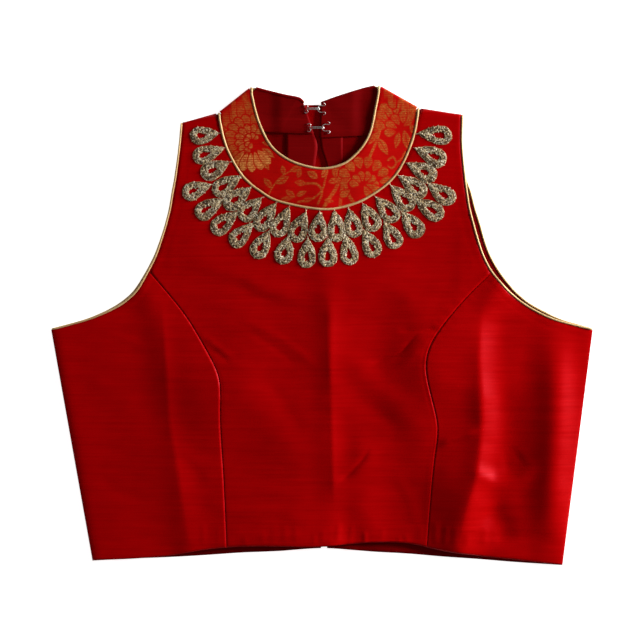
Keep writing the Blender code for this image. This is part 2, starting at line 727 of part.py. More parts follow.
def armhole_piping(side):
    """One closed cord along the front edge, round the armpit, up the back edge and over the shoulder."""
    line = ARM[side, "front"]
    corners = (line[-1], line[0])
    panel = FRONT_SIDES[side][-1]
    centre = FRONT_CENTRE[SEAM_STEPS:, 0 if side == "left" else -1]
    front = np.vstack([panel[:-1], (panel[-1:] + centre[:1]) / 2, centre[1:]])[::-1]
    front = moved(front, ARM_EDGE * OUT[side])
    front = with_z(front, front_height(front))
    back_edge = moved(BACKS[side][BACK_LOW_STEPS:, -1], -ARM_EDGE * OUT[side])
    low = ARM_CORD + 0.05
    path = clear_of(front, corners, 4.3)
    path += turn(corners[1], line[0] - on(line, line[3]), front[-3, 2], low, ARM_CORD)
    path += clear_of(with_z(back_edge, low), corners, 4.3)
    path += turn(corners[0], line[-1] - line[-4], front[3, 2], low, ARM_CORD)[::-1]
    cord(f"armhole_piping_{side}", path, ARM_CORD, "gold_piping", closed=True)


def collar_piping(name, line, backs, corners, outwards, stand):
    """A cord round the neck, from one side of the back opening to the other."""
    low = NECK_CORD + 0.05
    shares = np.array(steps(2 * NECK_STEPS, True))
    front = by_row(line, shares)
    front = with_z(front, collar_height(front, shares, stand))
    left, right = (with_z(points, low + placket_lift(points)) for points in backs)
    path = clear_of(left, corners, 4.4)
    path += turn(corners[0], outwards[0], COLLAR_FOLD, low, NECK_CORD)[::-1]
    path += clear_of(front, corners, 4.4)
    path += turn(corners[1], outwards[1], COLLAR_FOLD, low, NECK_CORD)
    path += clear_of(right[::-1], corners, 4.4)
    cord(name, path, NECK_CORD, "gold_piping")


def collar_pipings():
    out = [collar_fold(side)[2] for side in OUT]
    tops, seams = [back_neck(side)[2][:-1] for side in OUT], [back_neck(side)[1] for side in OUT]
    collar_piping("collar_top_piping", TOP_LINE, tops, (PEAK_LEFT, PEAK_RIGHT), out, 1.0)
    lean = [unit(direction - inward(side)) for direction, side in zip(out, OUT)]
    collar_piping("collar_seam_piping", SEAM_LINE, seams, (NECK_LEFT, NECK_RIGHT), lean, 0.0)


def arc(centre, radius, start, end, count, z):
    return [
        (centre[0] + radius * math.cos(a), centre[1] + radius * math.sin(a), z)
        for a in np.radians(np.linspace(start, end, count))
    ]


def hook(number):
    """One wire: a ring, the shank, the bill bent down over the eye, the shank back, and a ring."""
    place = FASTENINGS[number]
    x, y, z = place.hook_x, place.y, place.height
    reach = place.eye_x - place.hook_x - 0.6
    ring, half = 1.5, 0.55
    path = arc((x, y + half + ring), ring, 150, -90, 6, z)
    path += [(x + 2.2, y + half, z + 0.5), (x + 3.2, y + half, z + 1.1), (x + reach, y + half, z + 1.1)]
    path += [(x + reach + 1.6, y + 0.42, z + 0.25), (x + reach + 1.6, y - 0.42, z + 0.25)]
    path += [(x + reach, y - half, z + 1.1), (x + 3.2, y - half, z + 1.1), (x + 2.2, y - half, z + 0.5)]
    path += arc((x, y - half - ring), ring, 90, -150, 6, z)
    cord(f"hook_{number}", path, WIRE, "wire")


def eye(number):
    """One wire: a ring, the open loop that takes the hook, and a ring."""
    place = FASTENINGS[number]
    x, y, z = place.eye_x, place.y, place.height
    loop, ring = 2.9, 1.2
    path = arc((x + 4.6, y + loop + 0.9), ring, 120, -90, 5, z)
    path += arc((x + loop - 0.9, y), loop, 80, 280, 8, z)
    path += arc((x + 4.6, y - loop - 0.9), ring, 90, -120, 5, z)
    cord(f"eye_{number}", path, WIRE, "wire")


def clear_scene():
    for obj in list(bpy.data.objects):
        bpy.data.objects.remove(obj, do_unlink=True)
    collection = bpy.data.collections.new("choli_blouse")
    bpy.context.scene.collection.children.link(collection)
    root = bpy.data.objects.new("choli_blouse_root", None)
    collection.objects.link(root)
    return collection, root


def centre_on_origin():
    """Moves the whole blouse so that the middle of its box stands on the origin."""
    bpy.context.view_layer.update()
    graph = bpy.context.evaluated_depsgraph_get()
    corners = []
    for obj in BLOUSE.objects:
        if obj.type in ("MESH", "CURVE"):
            shown = obj.evaluated_get(graph)
            mesh = shown.to_mesh()
            co = np.empty(len(mesh.vertices) * 3)
            mesh.vertices.foreach_get("co", co)
            corners.append(co.reshape(-1, 3))
            shown.to_mesh_clear()
    corners = np.concatenate(corners)
    low, high = corners.min(axis=0), corners.max(axis=0)
    ROOT.location = (-(low[0] + high[0]) / 2, -(low[1] + high[1]) / 2, -low[2])


BLOUSE, ROOT = clear_scene()
FRONT_CENTRE = front_centre_flat()
FRONT_SIDES = {side: front_side_flat(side) for side in OUT}
BACKS = {side: back_flat(side) for side in OUT}
placket()
for which in ("left", "right"):
    back(which)
    facing(which)
    front_side(which)
    collar_lining(which)
    armhole_piping(which)
front_centre()
collar()
collar_pipings()
for pair in FASTENINGS:
    hook(pair)
    eye(pair)
centre_on_origin()
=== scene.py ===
"""The visual model of a sleeveless choli blouse laid flat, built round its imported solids.

Sizes are in millimetres on the cloth as it lies: x to the right and y towards the neck, from the
centre front at the hem, and z above the surface that the blouse rests on. Places that were read
off the photograph are in its own pixels, and photo() turns them into millimetres. Left and right
are as seen from above.
"""

import math
import random
from collections import namedtuple

import bpy
import numpy as np
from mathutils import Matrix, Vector

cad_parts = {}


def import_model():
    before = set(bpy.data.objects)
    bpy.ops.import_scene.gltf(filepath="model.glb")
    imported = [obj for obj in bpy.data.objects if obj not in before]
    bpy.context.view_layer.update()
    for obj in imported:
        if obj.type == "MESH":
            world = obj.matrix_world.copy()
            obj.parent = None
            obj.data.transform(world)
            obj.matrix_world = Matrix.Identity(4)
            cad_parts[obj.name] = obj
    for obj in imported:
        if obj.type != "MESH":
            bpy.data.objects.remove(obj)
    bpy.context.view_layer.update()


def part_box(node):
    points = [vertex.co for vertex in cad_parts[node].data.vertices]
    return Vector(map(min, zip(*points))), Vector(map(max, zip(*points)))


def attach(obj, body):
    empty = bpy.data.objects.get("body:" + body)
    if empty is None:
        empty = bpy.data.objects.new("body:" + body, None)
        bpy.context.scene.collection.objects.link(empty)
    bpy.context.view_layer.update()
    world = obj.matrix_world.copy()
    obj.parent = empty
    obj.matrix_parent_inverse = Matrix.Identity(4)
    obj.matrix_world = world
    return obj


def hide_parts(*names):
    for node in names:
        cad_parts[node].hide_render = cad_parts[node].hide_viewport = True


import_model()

MM = 0.001
PIXEL = 0.85  # millimetres to a pixel of the photograph

CLOTH = 1.2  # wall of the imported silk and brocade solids
THIN = 1.0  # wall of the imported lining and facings
SILK = 0.8  # wall of the silk as it is shown
GAP = 0.3
SEAM_GAP = 0.12
ARM_CORD = 0.9
NECK_CORD = 1.1
WIRE = 0.31

FRONT_BASE = 3.6
SEAM_END = 2.0
COLLAR_FOLD = 4.3
COLLAR_BACK = 0.75
PLACKET_LIFT = 1.5

NECK_LEFT, NECK_RIGHT = (-91.0, 385.9), (79.9, 390.1)
TIP_LEFT, TIP_RIGHT = (-122.0, 377.4), (116.9, 384.2)
PEAK_LEFT, PEAK_RIGHT = (-63.8, 407.6), (46.8, 408.8)
ARMPIT_LEFT, ARMPIT_RIGHT = (-233.3, 200.2), (228.2, 200.2)
HEM_LEFT, HEM_RIGHT = (-198.0, 4.5), (202.3, 0.6)

CollarRow = namedtuple("CollarRow", "seam_x seam_y top_x top_y")
COLLAR_FRONT = [
    CollarRow(-91.0, 385.9, -63.8, 407.6),
    CollarRow(-85.8, 362.1, -58.6, 384.6),
    CollarRow(-79.0, 345.9, -51.9, 367.2),
    CollarRow(-68.8, 330.2, -45.0, 356.1),
    CollarRow(-55.2, 318.8, -34.9, 347.6),
    CollarRow(-38.2, 309.8, -21.2, 341.3),
    CollarRow(-2.5, 303.2, -2.5, 337.8),
    CollarRow(22.9, 307.3, 14.4, 341.3),
    CollarRow(41.6, 316.6, 24.6, 348.5),
    CollarRow(56.9, 328.9, 33.1, 358.3),
    CollarRow(67.1, 344.2, 39.1, 370.6),
    CollarRow(75.6, 366.3, 43.4, 391.0),
    CollarRow(79.9, 390.1, 46.8, 408.8),
]
COLLAR_BACK_LEFT = [
    CollarRow(-91.0, 385.9, -63.8, 407.6),
    CollarRow(-72.2, 378.2, -50.1, 403.8),
    CollarRow(-51.9, 373.1, -34.9, 399.9),
    CollarRow(-29.8, 371.9, -22.9, 397.4),
    CollarRow(-10.6, 371.4, -17.8, 394.3),
]
COLLAR_BACK_RIGHT = [
    CollarRow(79.9, 390.1, 46.8, 408.8),
    CollarRow(62.0, 377.4, 34.9, 405.9),
    CollarRow(41.6, 370.6, 21.2, 401.6),
    CollarRow(19.6, 369.0, 8.5, 397.4),
    CollarRow(-4.7, 368.0, -3.4, 393.1),
]

ArmholeRow = namedtuple("ArmholeRow", "y front_left back_left front_right back_right")
ARMHOLES = [
    ArmholeRow(358.7, -123.7, -123.7, 116.5, 116.5),
    ArmholeRow(331.5, -127.1, -127.5, 119.0, 119.4),
    ArmholeRow(317.9, -129.6, -130.0, 120.7, 124.0),
    ArmholeRow(304.3, -131.8, -132.2, 122.8, 127.4),
    ArmholeRow(290.7, -135.2, -135.6, 126.2, 131.7),
    ArmholeRow(277.1, -139.4, -139.9, 130.0, 135.5),
    ArmholeRow(263.5, -144.1, -145.0, 134.7, 140.6),
    ArmholeRow(249.9, -150.9, -152.0, 141.9, 148.3),
    ArmholeRow(236.3, -158.5, -160.4, 153.4, 158.9),
    ArmholeRow(229.5, -164.5, -166.4, 160.7, 165.7),
    ArmholeRow(222.7, -173.0, -175.0, 169.6, 174.2),
    ArmholeRow(215.9, -185.7, -187.2, 181.0, 186.5),
    ArmholeRow(209.1, -203.2, -204.0, 196.3, 201.0),
    ArmholeRow(203.0, -225.2, -226.1, 219.7, 221.8),
]

HemRow = namedtuple("HemRow", "x front back")
HEMS = [
    HemRow(-198.0, 4.7, 4.2),
    HemRow(-164.0, 6.1, 6.0),
    HemRow(-133.4, 8.5, 7.2),
    HemRow(-102.8, 13.6, 8.9),
    HemRow(-72.2, 16.4, 11.0),
    HemRow(-41.6, 16.6, 12.3),
    HemRow(-11.0, 16.1, 14.6),
    HemRow(7.6, 17.4, 14.6),
    HemRow(39.9, 20.0, 11.9),
    HemRow(70.5, 19.1, 10.2),
    HemRow(101.1, 12.8, 7.6),
    HemRow(131.8, 8.5, 5.5),
    HemRow(162.3, 5.1, 3.0),
    HemRow(202.3, 0.8, 0.4),
]

SeamRow = namedtuple("SeamRow", "x y")
PRINCESS_LEFT = [
    SeamRow(-83.7, 15.3),
    SeamRow(-85.8, 73.1),
    SeamRow(-88.4, 120.7),
    SeamRow(-87.5, 153.8),
    SeamRow(-89.2, 163.2),
    SeamRow(-100.3, 183.6),
    SeamRow(-115.6, 209.9),
    SeamRow(-132.6, 231.2),
    SeamRow(-147.9, 249.0),
]
PRINCESS_RIGHT = [
    SeamRow(86.4, 16.1),
    SeamRow(91.0, 87.5),
    SeamRow(94.7, 114.8),
    SeamRow(91.0, 130.0),
    SeamRow(83.6, 156.4),
    SeamRow(81.2, 168.3),
    SeamRow(85.0, 185.3),
    SeamRow(99.0, 205.7),
    SeamRow(119.8, 229.5),
    SeamRow(136.8, 245.7),
]
CREASE_LEFT = [
    SeamRow(-114.8, 11.0),
    SeamRow(-119.8, 42.5),
    SeamRow(-126.6, 90.1),
    SeamRow(-131.8, 120.7),
    SeamRow(-137.0, 175.1),
    SeamRow(-146.0, 220.0),
    SeamRow(-158.5, 236.3),
]
CREASE_RIGHT = [
    SeamRow(113.0, 11.0),
    SeamRow(119.8, 45.9),
    SeamRow(128.3, 76.5),
    SeamRow(133.4, 113.9),
    SeamRow(133.4, 141.1),
    SeamRow(131.8, 175.1),
    SeamRow(134.5, 209.1),
    SeamRow(149.0, 239.0),
]
CREASE_CENTRE = [
    SeamRow(7.6, 17.4),
    SeamRow(7.6, 56.1),
    SeamRow(5.1, 141.1),
    SeamRow(2.5, 249.9),
    SeamRow(-0.8, 303.2),
]

OpeningRow = namedtuple("OpeningRow", "y left right strip_left strip_right")
OPENING = [
    OpeningRow(14.5, -3.4, 1.7, -16.0, 14.0),
    OpeningRow(110.0, -5.2, 3.4, -18.0, 16.0),
    OpeningRow(200.6, -6.8, 5.1, -20.0, 18.0),
    OpeningRow(302.6, -11.0, 7.6, -24.0, 19.0),
    OpeningRow(340.8, -8.1, 2.5, -22.0, 14.0),
    OpeningRow(358.0, -6.2, -2.9, -22.0, 10.0),
    OpeningRow(371.0, -10.4, -4.6, -24.0, 7.0),
    OpeningRow(392.6, -18.2, -3.4, -30.0, 6.0),
]
FACING_LEFT, FACING_RIGHT = -33.5, 15.0
FACING_END = 288.0
LIFT_LEFT, LIFT_RIGHT, LIFT_RUN = -36.0, 22.0, 11.0

Mound = namedtuple("Mound", "x y half_width half_length height")
MOUNDS = {
    "body": Mound(0.0, 140.0, 235.0, 215.0, 3.4),
    "neck": Mound(-3.0, 325.0, 105.0, 90.0, 2.4),
    "bust_left": Mound(-92.0, 168.0, 72.0, 78.0, 5.0),
    "bust_right": Mound(84.0, 172.0, 72.0, 80.0, 7.0),
    "hem_mouth": Mound(4.0, 5.0, 150.0, 75.0, 4.5),
    "side_roll": Mound(194.0, 105.0, 32.0, 140.0, 4.2),
    "armhole_right": Mound(140.0, 270.0, 40.0, 90.0, 2.0),
}
Ridge = namedtuple("Ridge", "line half_width height")
RIDGES = {
    "centre": Ridge(CREASE_CENTRE, 12.0, 1.5),
    "left": Ridge(CREASE_LEFT, 12.0, 1.3),
    "right": Ridge(CREASE_RIGHT, 12.0, 3.0),
}
TURN_LEFT, TURN_RIGHT, TURN_SHOULDER = 5.0, 9.0, 4.0

Fastening = namedtuple("Fastening", "hook_x y eye_x height")
FASTENINGS = {
    1: Fastening(-16.0, 388.6, -5.4, 5.0),
    2: Fastening(-13.6, 372.6, -1.6, 6.1),
    3: Fastening(-17.0, 280.0, 11.5, 3.5),
    4: Fastening(-13.0, 190.0, 8.5, 3.5),
    5: Fastening(-11.0, 98.0, 7.0, 3.5),
}

# Smaller folds of the front, in the photograph's pixels. A ridge is rounded, a crease is pressed
# sharp, and a step lies higher on the left of its path. A negative height is a trough.
Fold = namedtuple("Fold", "kind width height path")
FOLDS = [
    # the pressed creases and what lies beside them
    Fold("ridge", 14.0, -0.9, ((328, 226), (329, 262), (330, 302))),
    Fold("crease", 5.0, 1.25, ((329, 290), (330, 312), (330, 345), (331, 400))),
    Fold("crease", 4.0, 0.70, ((331, 372), (332, 430), (334, 512))),
    Fold("ridge", 15.0, -1.1, ((340, 388), (342, 430), (344, 500), (345, 546))),
    Fold("ridge", 13.0, -0.9, ((334, 496), (335, 520), (335, 549))),
    Fold("ridge", 15.0, -0.9, ((162, 300), (168, 360), (172, 424), (178, 476))),
    Fold("crease", 5.0, 0.62, ((156, 286), (161, 300), (166, 360), (170, 424), (176, 460), (184, 516), (190, 552))),
    Fold("ridge", 13.0, -1.5, ((484, 296), (481, 330), (480, 372), (482, 400))),
    Fold("crease", 8.5, 2.5, ((486, 296), (481, 320), (479, 360), (481, 400), (481, 432), (476, 476), (466, 512), (457, 552))),
    Fold("ridge", 14.0, -1.5, ((503, 372), (505, 390), (507, 410), (508, 436), (505, 470), (498, 500))),
    Fold("ridge", 15.0, 3.3, ((554, 322), (556, 360), (556, 420), (553, 480), (545, 552))),
    # the fold that crosses the right-hand valley, and the hollows round it
    Fold("ridge", 8.0, 1.9, ((470, 462), (484, 478), (500, 484), (516, 482), (529, 472), (536, 458))),
    Fold("ridge", 11.0, -0.9, ((500, 464), (512, 462), (524, 454))),
    Fold("ridge", 13.0, -2.6, ((485, 504), (499, 520), (508, 548))),
    Fold("ridge", 12.0, 0.9, ((566, 470), (562, 510), (556, 552))),
    # pressed lines across
    Fold("crease", 3.5, 0.40, ((66, 445), (100, 441), (160, 431))),
    Fold("crease", 3.2, 1.9, ((434, 447), (458, 437), (482, 431))),
    Fold("step", 6.0, 0.75, ((168, 270), (200, 273), (240, 281), (262, 294), (322, 310))),
    Fold("crease", 3.0, 0.24, ((248, 258), (280, 268), (304, 276), (320, 272), (360, 264), (444, 255))),
    # puckers over the left bust
    Fold("ridge", 3.5, 0.40, ((196, 334), (210, 341), (224, 352), (238, 357))),
    Fold("ridge", 3.0, -0.32, ((200, 344), (216, 352), (232, 366))),
    Fold("ridge", 4.5, 0.36, ((236, 318), (276, 336), (306, 358), (322, 374))),
    Fold("ridge", 4.0, -0.26, ((244, 330), (272, 346), (300, 368))),
    Fold("step", 5.0, 0.30, ((172, 450), (190, 462), (212, 486))),
    Fold("ridge", 16.0, 0.55, ((226, 378), (250, 402), (282, 436), (310, 482))),
    Fold("ridge", 9.0, -0.35, ((258, 372), (284, 404), (304, 440))),
    # the right bust
    Fold("crease", 2.8, -1.1, ((396, 330), (416, 330), (442, 328))),
    Fold("crease", 2.8, -0.9, ((366, 367), (386, 358), (400, 353), (409, 343), (420, 331))),
    Fold("ridge", 5.0, 0.40, ((424, 344), (402, 366), (378, 376))),
    Fold("ridge", 13.0, 1.2, ((334, 350), (360, 370), (392, 400), (424, 434))),
    Fold("ridge", 10.0, 0.60, ((346, 300), (376, 288), (404, 296), (424, 318))),
    Fold("ridge", 8.0, -0.40, ((346, 396), (372, 408), (402, 434))),
    Fold("ridge", 12.0, 1.0, ((332, 500), (352, 474), (372, 440))),
    Fold("crease", 2.8, -1.1, ((335, 485), (350, 473), (362, 460), (371, 447))),
    Fold("ridge", 6.0, 0.30, ((392, 470), (410, 500), (416, 532))),
    # faint pressed lines below the shoulders, and the ease beside the armholes
    Fold("crease", 4.0, 0.16, ((461, 214), (460, 260), (459, 322))),
    Fold("crease", 4.0, 0.14, ((173, 214), (172, 250), (171, 284))),
    Fold("ridge", 4.0, -0.22, ((506, 290), (520, 306), (548, 322))),
    Fold("ridge", 3.0, 0.20, ((96, 332), (124, 338), (150, 352))),
    Fold("ridge", 9.0, 0.30, ((84, 372), (110, 392), (140, 404))),
    Fold("ridge", 8.0, -0.28, ((92, 470), (118, 492), (150, 500))),
    Fold("ridge", 8.0, 0.32, ((200, 500), (236, 512), (280, 508))),
    Fold("ridge", 7.0, -0.30, ((232, 536), (262, 520), (300, 524))),
]

# Broad hollows and rises between the folds.
FORMS = [
    Mound(56.0, 168.0, 44.0, 90.0, -3.4),
    Mound(120.0, 150.0, 36.0, 110.0, 2.0),
    Mound(66.0, 48.0, 46.0, 74.0, -3.6),
    Mound(115.0, 52.0, 34.0, 84.0, 3.9),
    Mound(24.0, 20.0, 22.0, 34.0, -2.1),
    Mound(-95.0, 192.0, 48.0, 56.0, -2.6),
    Mound(-9.0, 190.0, 60.0, 52.0, 1.8),
    Mound(-20.0, 110.0, 60.0, 70.0, 1.0),
    Mound(30.0, 232.0, 60.0, 34.0, 1.2),
    Mound(46.0, 30.0, 24.0, 40.0, -0.7),
    Mound(96.0, 60.0, 56.0, 80.0, 1.7),
    Mound(14.0, 4.0, 60.0, 60.0, -1.2),
    Mound(10.0, 46.0, 40.0, 70.0, -0.9),
    Mound(112.0, 230.0, 40.0, 50.0, 1.3),
    Mound(120.0, 200.0, 34.0, 44.0, 1.8),
    Mound(84.0, 110.0, 30.0, 40.0, 0.9),
    Mound(20.0, 150.0, 34.0, 44.0, 1.1),
]

# Embroidered drops round the collar, in the photograph's pixels: the middle, the point and the round end.
Drop = namedtuple("Drop", "x y tip_x tip_y end_x end_y")
INNER_DROPS = [
    Drop(203, 136.5, 219, 133, 191, 136.5), Drop(209, 155, 224, 148, 194, 158),
    Drop(215, 171, 229, 162, 202, 175), Drop(226, 185.5, 241, 176, 214, 193),
    Drop(237.5, 199, 251, 187.5, 225, 207), Drop(250, 210, 261, 198, 241, 219),
    Drop(266, 217, 276, 203, 257, 229), Drop(282, 222, 289, 207, 275, 235.5),
    Drop(300, 227, 306, 212, 294, 241), Drop(317, 226, 320, 212, 317, 241),
    Drop(335.5, 226, 334.5, 211, 337.5, 241), Drop(353, 223, 349, 209, 356, 236.5),
    Drop(370, 217, 363, 204, 376, 230), Drop(388, 209, 376, 197, 397, 220),
    Drop(402, 197, 391, 185.5, 412, 209), Drop(413, 185.5, 399, 176, 425, 195),
    Drop(422, 171, 407, 163, 435.5, 178), Drop(430, 155, 415, 148, 445, 162),
    Drop(434.5, 136, 418, 133.5, 451, 136.5),
]
OUTER_DROPS = [
    Drop(197, 192, 211, 184.5, 183.5, 195), Drop(209, 208, 223, 199, 197, 216),
    Drop(224, 223, 237.5, 212, 213, 232), Drop(243, 234.5, 253, 223, 232, 245),
    Drop(261, 245, 269, 231, 255, 257), Drop(283, 250, 288, 236.5, 281, 263),
    Drop(306.5, 252, 308, 238, 306, 267), Drop(328, 252, 328, 238, 328, 266),
    Drop(349, 250, 346, 235.5, 351, 264), Drop(371, 244, 364, 230, 376, 256),
    Drop(393, 234.5, 384.5, 222, 398, 247), Drop(412, 223, 402, 212, 421, 235.5),
    Drop(429, 208, 415, 199, 442, 217), Drop(442, 193, 428, 183.5, 454, 201),
]

# How finely the shown cloth is divided.
NECK_STEPS = 75
SEAM_STEPS = 136
ARM_STEPS = 70
SHOULDER_STEPS = 13
SKIP = 6  # neck points nearest each shoulder, where the collar folds over
BACK_LOW_STEPS, BACK_HIGH_STEPS = 70, 62
BACK_COUNTS = (9, 3, 4)
BACK_NECK_STEPS = 20
NECK_COLUMNS = sum(BACK_COUNTS) + BACK_NECK_STEPS
NECK_EDGE = 0.80 * NECK_CORD
ARM_EDGE = 0.80 * ARM_CORD


# --- curves and patches -----------------------------------------------------------------------------


def photo(points):
    """Pixels of the photograph as millimetres on the cloth."""
    points = np.asarray(points, float)
    return np.stack([(points[..., 0] - 325.0) * PIXEL, (566.0 - points[..., 1]) * PIXEL], axis=-1)


def spline(rows, steps=12):
    """A smooth curve through a table's points, as many short straight lines."""
    points = np.array([tuple(row)[:2] for row in rows], float)
    ends = np.vstack([2 * points[0] - points[1], points, 2 * points[-1] - points[-2]])
    found = []
    for a, b, c, d in zip(ends, ends[1:], ends[2:], ends[3:]):
        for k in range(steps):
            t = k / steps
            found.append(
                0.5 * (2 * b + (c - a) * t + (2 * a - 5 * b + 4 * c - d) * t**2 + (3 * b - a - 3 * c + d) * t**3)
            )
    return np.array(found + [points[-1]])


def lengths(curve):
    return np.concatenate([[0], np.cumsum(np.linalg.norm(np.diff(curve, axis=0), axis=1))])


def at(curve, fractions):
    along = lengths(curve)
    fractions = np.asarray(fractions, float) * along[-1]
    return np.stack([np.interp(fractions, along, curve[:, k]) for k in range(curve.shape[1])], axis=-1)


def nearest(curve, point):
    fine = at(curve, np.linspace(0, 1, 2401))
    return np.linspace(0, 1, 2401)[np.argmin(np.linalg.norm(fine - np.asarray(point), axis=1))]


def between(curve, start, end, n=241):
    return at(curve, np.linspace(nearest(curve, start), nearest(curve, end), n))


def beside(curve, distance):
    along = np.gradient(curve, axis=0)
    along /= np.linalg.norm(along, axis=1, keepdims=True)
    return curve + distance * np.stack([-along[:, 1], along[:, 0]], axis=1)


def pinned(curve, start, end):
    share = (lengths(curve) / lengths(curve)[-1])[:, None]
    return curve + (1 - share) * (np.asarray(start) - curve[0]) + share * (np.asarray(end) - curve[-1])


def steps(count, last=False):
    return [k / count for k in range(count + (1 if last else 0))]


def distance_to(points, line):
    best = np.full(points.shape[:-1], 1e9)
    for a, b in zip(line, line[1:]):
        run = b - a
        share = np.clip(((points - a) @ run) / max(run @ run, 1e-12), 0, 1)
        best = np.minimum(best, np.linalg.norm(points - a - share[..., None] * run, axis=-1))
    return best


def place_on(points, line):
    """How far each point is from a line, positive on its left, and how far along the line, in mm."""
    away, along = np.full(points.shape[:-1], 1e9), np.zeros(points.shape[:-1])
    gone = 0.0
    for a, b in zip(line, line[1:]):
        run = b - a
        size = float(np.linalg.norm(run))
        share = np.clip(((points - a) @ run) / max(size * size, 1e-12), 0, 1)
        gap = points - a - share[..., None] * run
        found = np.linalg.norm(gap, axis=-1)
        side = np.where(run[0] * (points - a)[..., 1] - run[1] * (points - a)[..., 0] >= 0, 1.0, -1.0)
        closer = found < np.abs(away)
        away = np.where(closer, found * side, away)
        along = np.where(closer, gone + share * size, along)
        gone += size
    return away, along, gone


def ease(value):
    value = np.clip(value, 0, 1)
    return value * value * (3 - 2 * value)


def by_row(curve, shares):
    where = np.asarray(shares, float) * (len(curve) - 1)
    index = np.arange(len(curve))
    return np.stack([np.interp(where, index, curve[:, k]) for k in range(2)], axis=1)


def patch(left, right, low, high):
    """A Coons patch: points of rows and columns inside four edges, each already in its own steps."""
    left, right, low, high = (np.asarray(edge, float) for edge in (left, right, low, high))
    t = 0.5 * (lengths(left) / lengths(left)[-1] + lengths(right) / lengths(right)[-1])[:, None, None]
    s = 0.5 * (lengths(low) / lengths(low)[-1] + lengths(high) / lengths(high)[-1])[None, :, None]
    corners = (1 - t) * ((1 - s) * low[0] + s * low[-1]) + t * ((1 - s) * high[0] + s * high[-1])
    sides = (1 - s) * left[:, None] + s * right[:, None]
    return (1 - t) * low[None] + t * high[None] + sides - corners


def joined(*patches):
    return np.concatenate([patches[0]] + [p[:, 1:] for p in patches[1:]], axis=1)


def moved(points, distance):
    run = np.diff(points, axis=0)
    run /= np.linalg.norm(run, axis=1, keepdims=True)
    side = np.stack([-run[:, 1], run[:, 0]], axis=1)
    before, after = np.vstack([side[:1], side]), np.vstack([side, side[-1:]])
    middle = before + after
    middle /= np.linalg.norm(middle, axis=1, keepdims=True)
    return points + distance * middle / np.maximum(np.sum(middle * after, axis=1), 0.8)[:, None]


def unit(vector):
    vector = np.asarray(vector, float)
    return vector / np.linalg.norm(vector)


def on(curve, point):
    return at(curve, [nearest(curve, point)])[0]


def with_z(points, z):
    return np.concatenate([points, np.broadcast_to(z, points.shape[:-1])[..., None]], axis=-1)


def nearest_index(curve, point):
    return int(np.argmin(np.linalg.norm(curve - np.asarray(tuple(point)[:2]), axis=1)))


def sorted_columns(curve):
    order = np.argsort(curve[:, 0])
    return curve[order, 0], curve[order, 1]


def armhole(side, layer):
    tip, armpit = (TIP_LEFT, ARMPIT_LEFT) if side == "left" else (TIP_RIGHT, ARMPIT_RIGHT)
    rows = [SeamRow(getattr(row, f"{layer}_{side}"), row.y) for row in ARMHOLES]
    return spline([SeamRow(*tip), *rows, SeamRow(armpit[0], armpit[1] + 1.0)])[::-1]


def hem(layer):
    return spline([SeamRow(row.x, getattr(row, layer)) for row in HEMS])


def seam_rows(rows):
    return [SeamRow(row.seam_x, row.seam_y) for row in rows]


def top_rows(rows):
    return [SeamRow(row.top_x, row.top_y) for row in rows]


SIDE_LEFT = np.array([HEM_LEFT, ARMPIT_LEFT])
SIDE_RIGHT = np.array([HEM_RIGHT, ARMPIT_RIGHT])
SHOULDER_LEFT = np.array([NECK_LEFT, TIP_LEFT])
SHOULDER_RIGHT = np.array([NECK_RIGHT, TIP_RIGHT])
OUT = {"left": -1, "right": 1}
CORNERS = {
    "left": {"seam": SIDE_LEFT, "shoulder": SHOULDER_LEFT, "neck": NECK_LEFT, "peak": PEAK_LEFT},
    "right": {"seam": SIDE_RIGHT, "shoulder": SHOULDER_RIGHT, "neck": NECK_RIGHT, "peak": PEAK_RIGHT},
}
COLLAR_BACKS = {"left": COLLAR_BACK_LEFT, "right": COLLAR_BACK_RIGHT}
SEAM_LINE, TOP_LINE = spline(seam_rows(COLLAR_FRONT), 40), spline(top_rows(COLLAR_FRONT), 40)
FRONT_HEM, BACK_HEM = hem("front"), hem("back")
ARM = {(side, layer): armhole(side, layer) for side in OUT for layer in ("front", "back")}
def softened(curve, rounds):
    curve = at(curve, np.linspace(0, 1, 181))
    for _ in range(rounds):
        curve[1:-1] = 0.25 * curve[:-2] + 0.5 * curve[1:-1] + 0.25 * curve[2:]
    return curve


PRINCESS = {"left": softened(spline(PRINCESS_LEFT), 90), "right": softened(spline(PRINCESS_RIGHT), 90)}
CREASE = {"left": spline(CREASE_LEFT), "right": spline(CREASE_RIGHT)}


# --- heights ----------------------------------------------------------------------------------------


def front_height(points):
    """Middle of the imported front's cloth above the surface, before it turns down at its seams."""
    x, y = points[..., 0], points[..., 1]
    z = np.full(x.shape, FRONT_BASE)
    for mound in MOUNDS.values():
        away = np.hypot((x - mound.x) / mound.half_width, (y - mound.y) / mound.half_length)
        z = z + mound.height * 0.5 * (1 + np.cos(np.pi * np.minimum(away, 1)))
    for ridge in RIDGES.values():
        away = distance_to(points, spline(ridge.line, 3))
        z = z + ridge.height * np.exp(-((away / ridge.half_width) ** 2))
    return z


def fold_height(points, folds):
    """The smaller folds, each fading out at its ends."""
    z = np.zeros(points.shape[:-1])
    for fold in folds:
        line, width = spline(photo(fold.path), 5), fold.width * PIXEL
        reach = 4.5 * width
        close = (
            (points[..., 0] > line[:, 0].min() - reach)
            & (points[..., 0] < line[:, 0].max() + reach)
            & (points[..., 1] > line[:, 1].min() - reach)
            & (points[..., 1] < line[:, 1].max() + reach)
        )
        if not close.any():
            continue
        away, along, whole = place_on(points[close], line)
        fade = ease(np.minimum(along, whole - along) / (0.3 * whole) + 0.02)
        if fold.kind == "ridge":
            shape = np.exp(-((away / width) ** 2))
        elif fold.kind == "crease":
            shape = np.exp(-(np.sqrt(away**2 + (0.22 * width) ** 2) - 0.22 * width) / width)
        else:
            shape = np.tanh(away / width) * np.exp(-((away / (3.2 * width)) ** 2))
        z[close] += fold.height * fade * shape
    return z


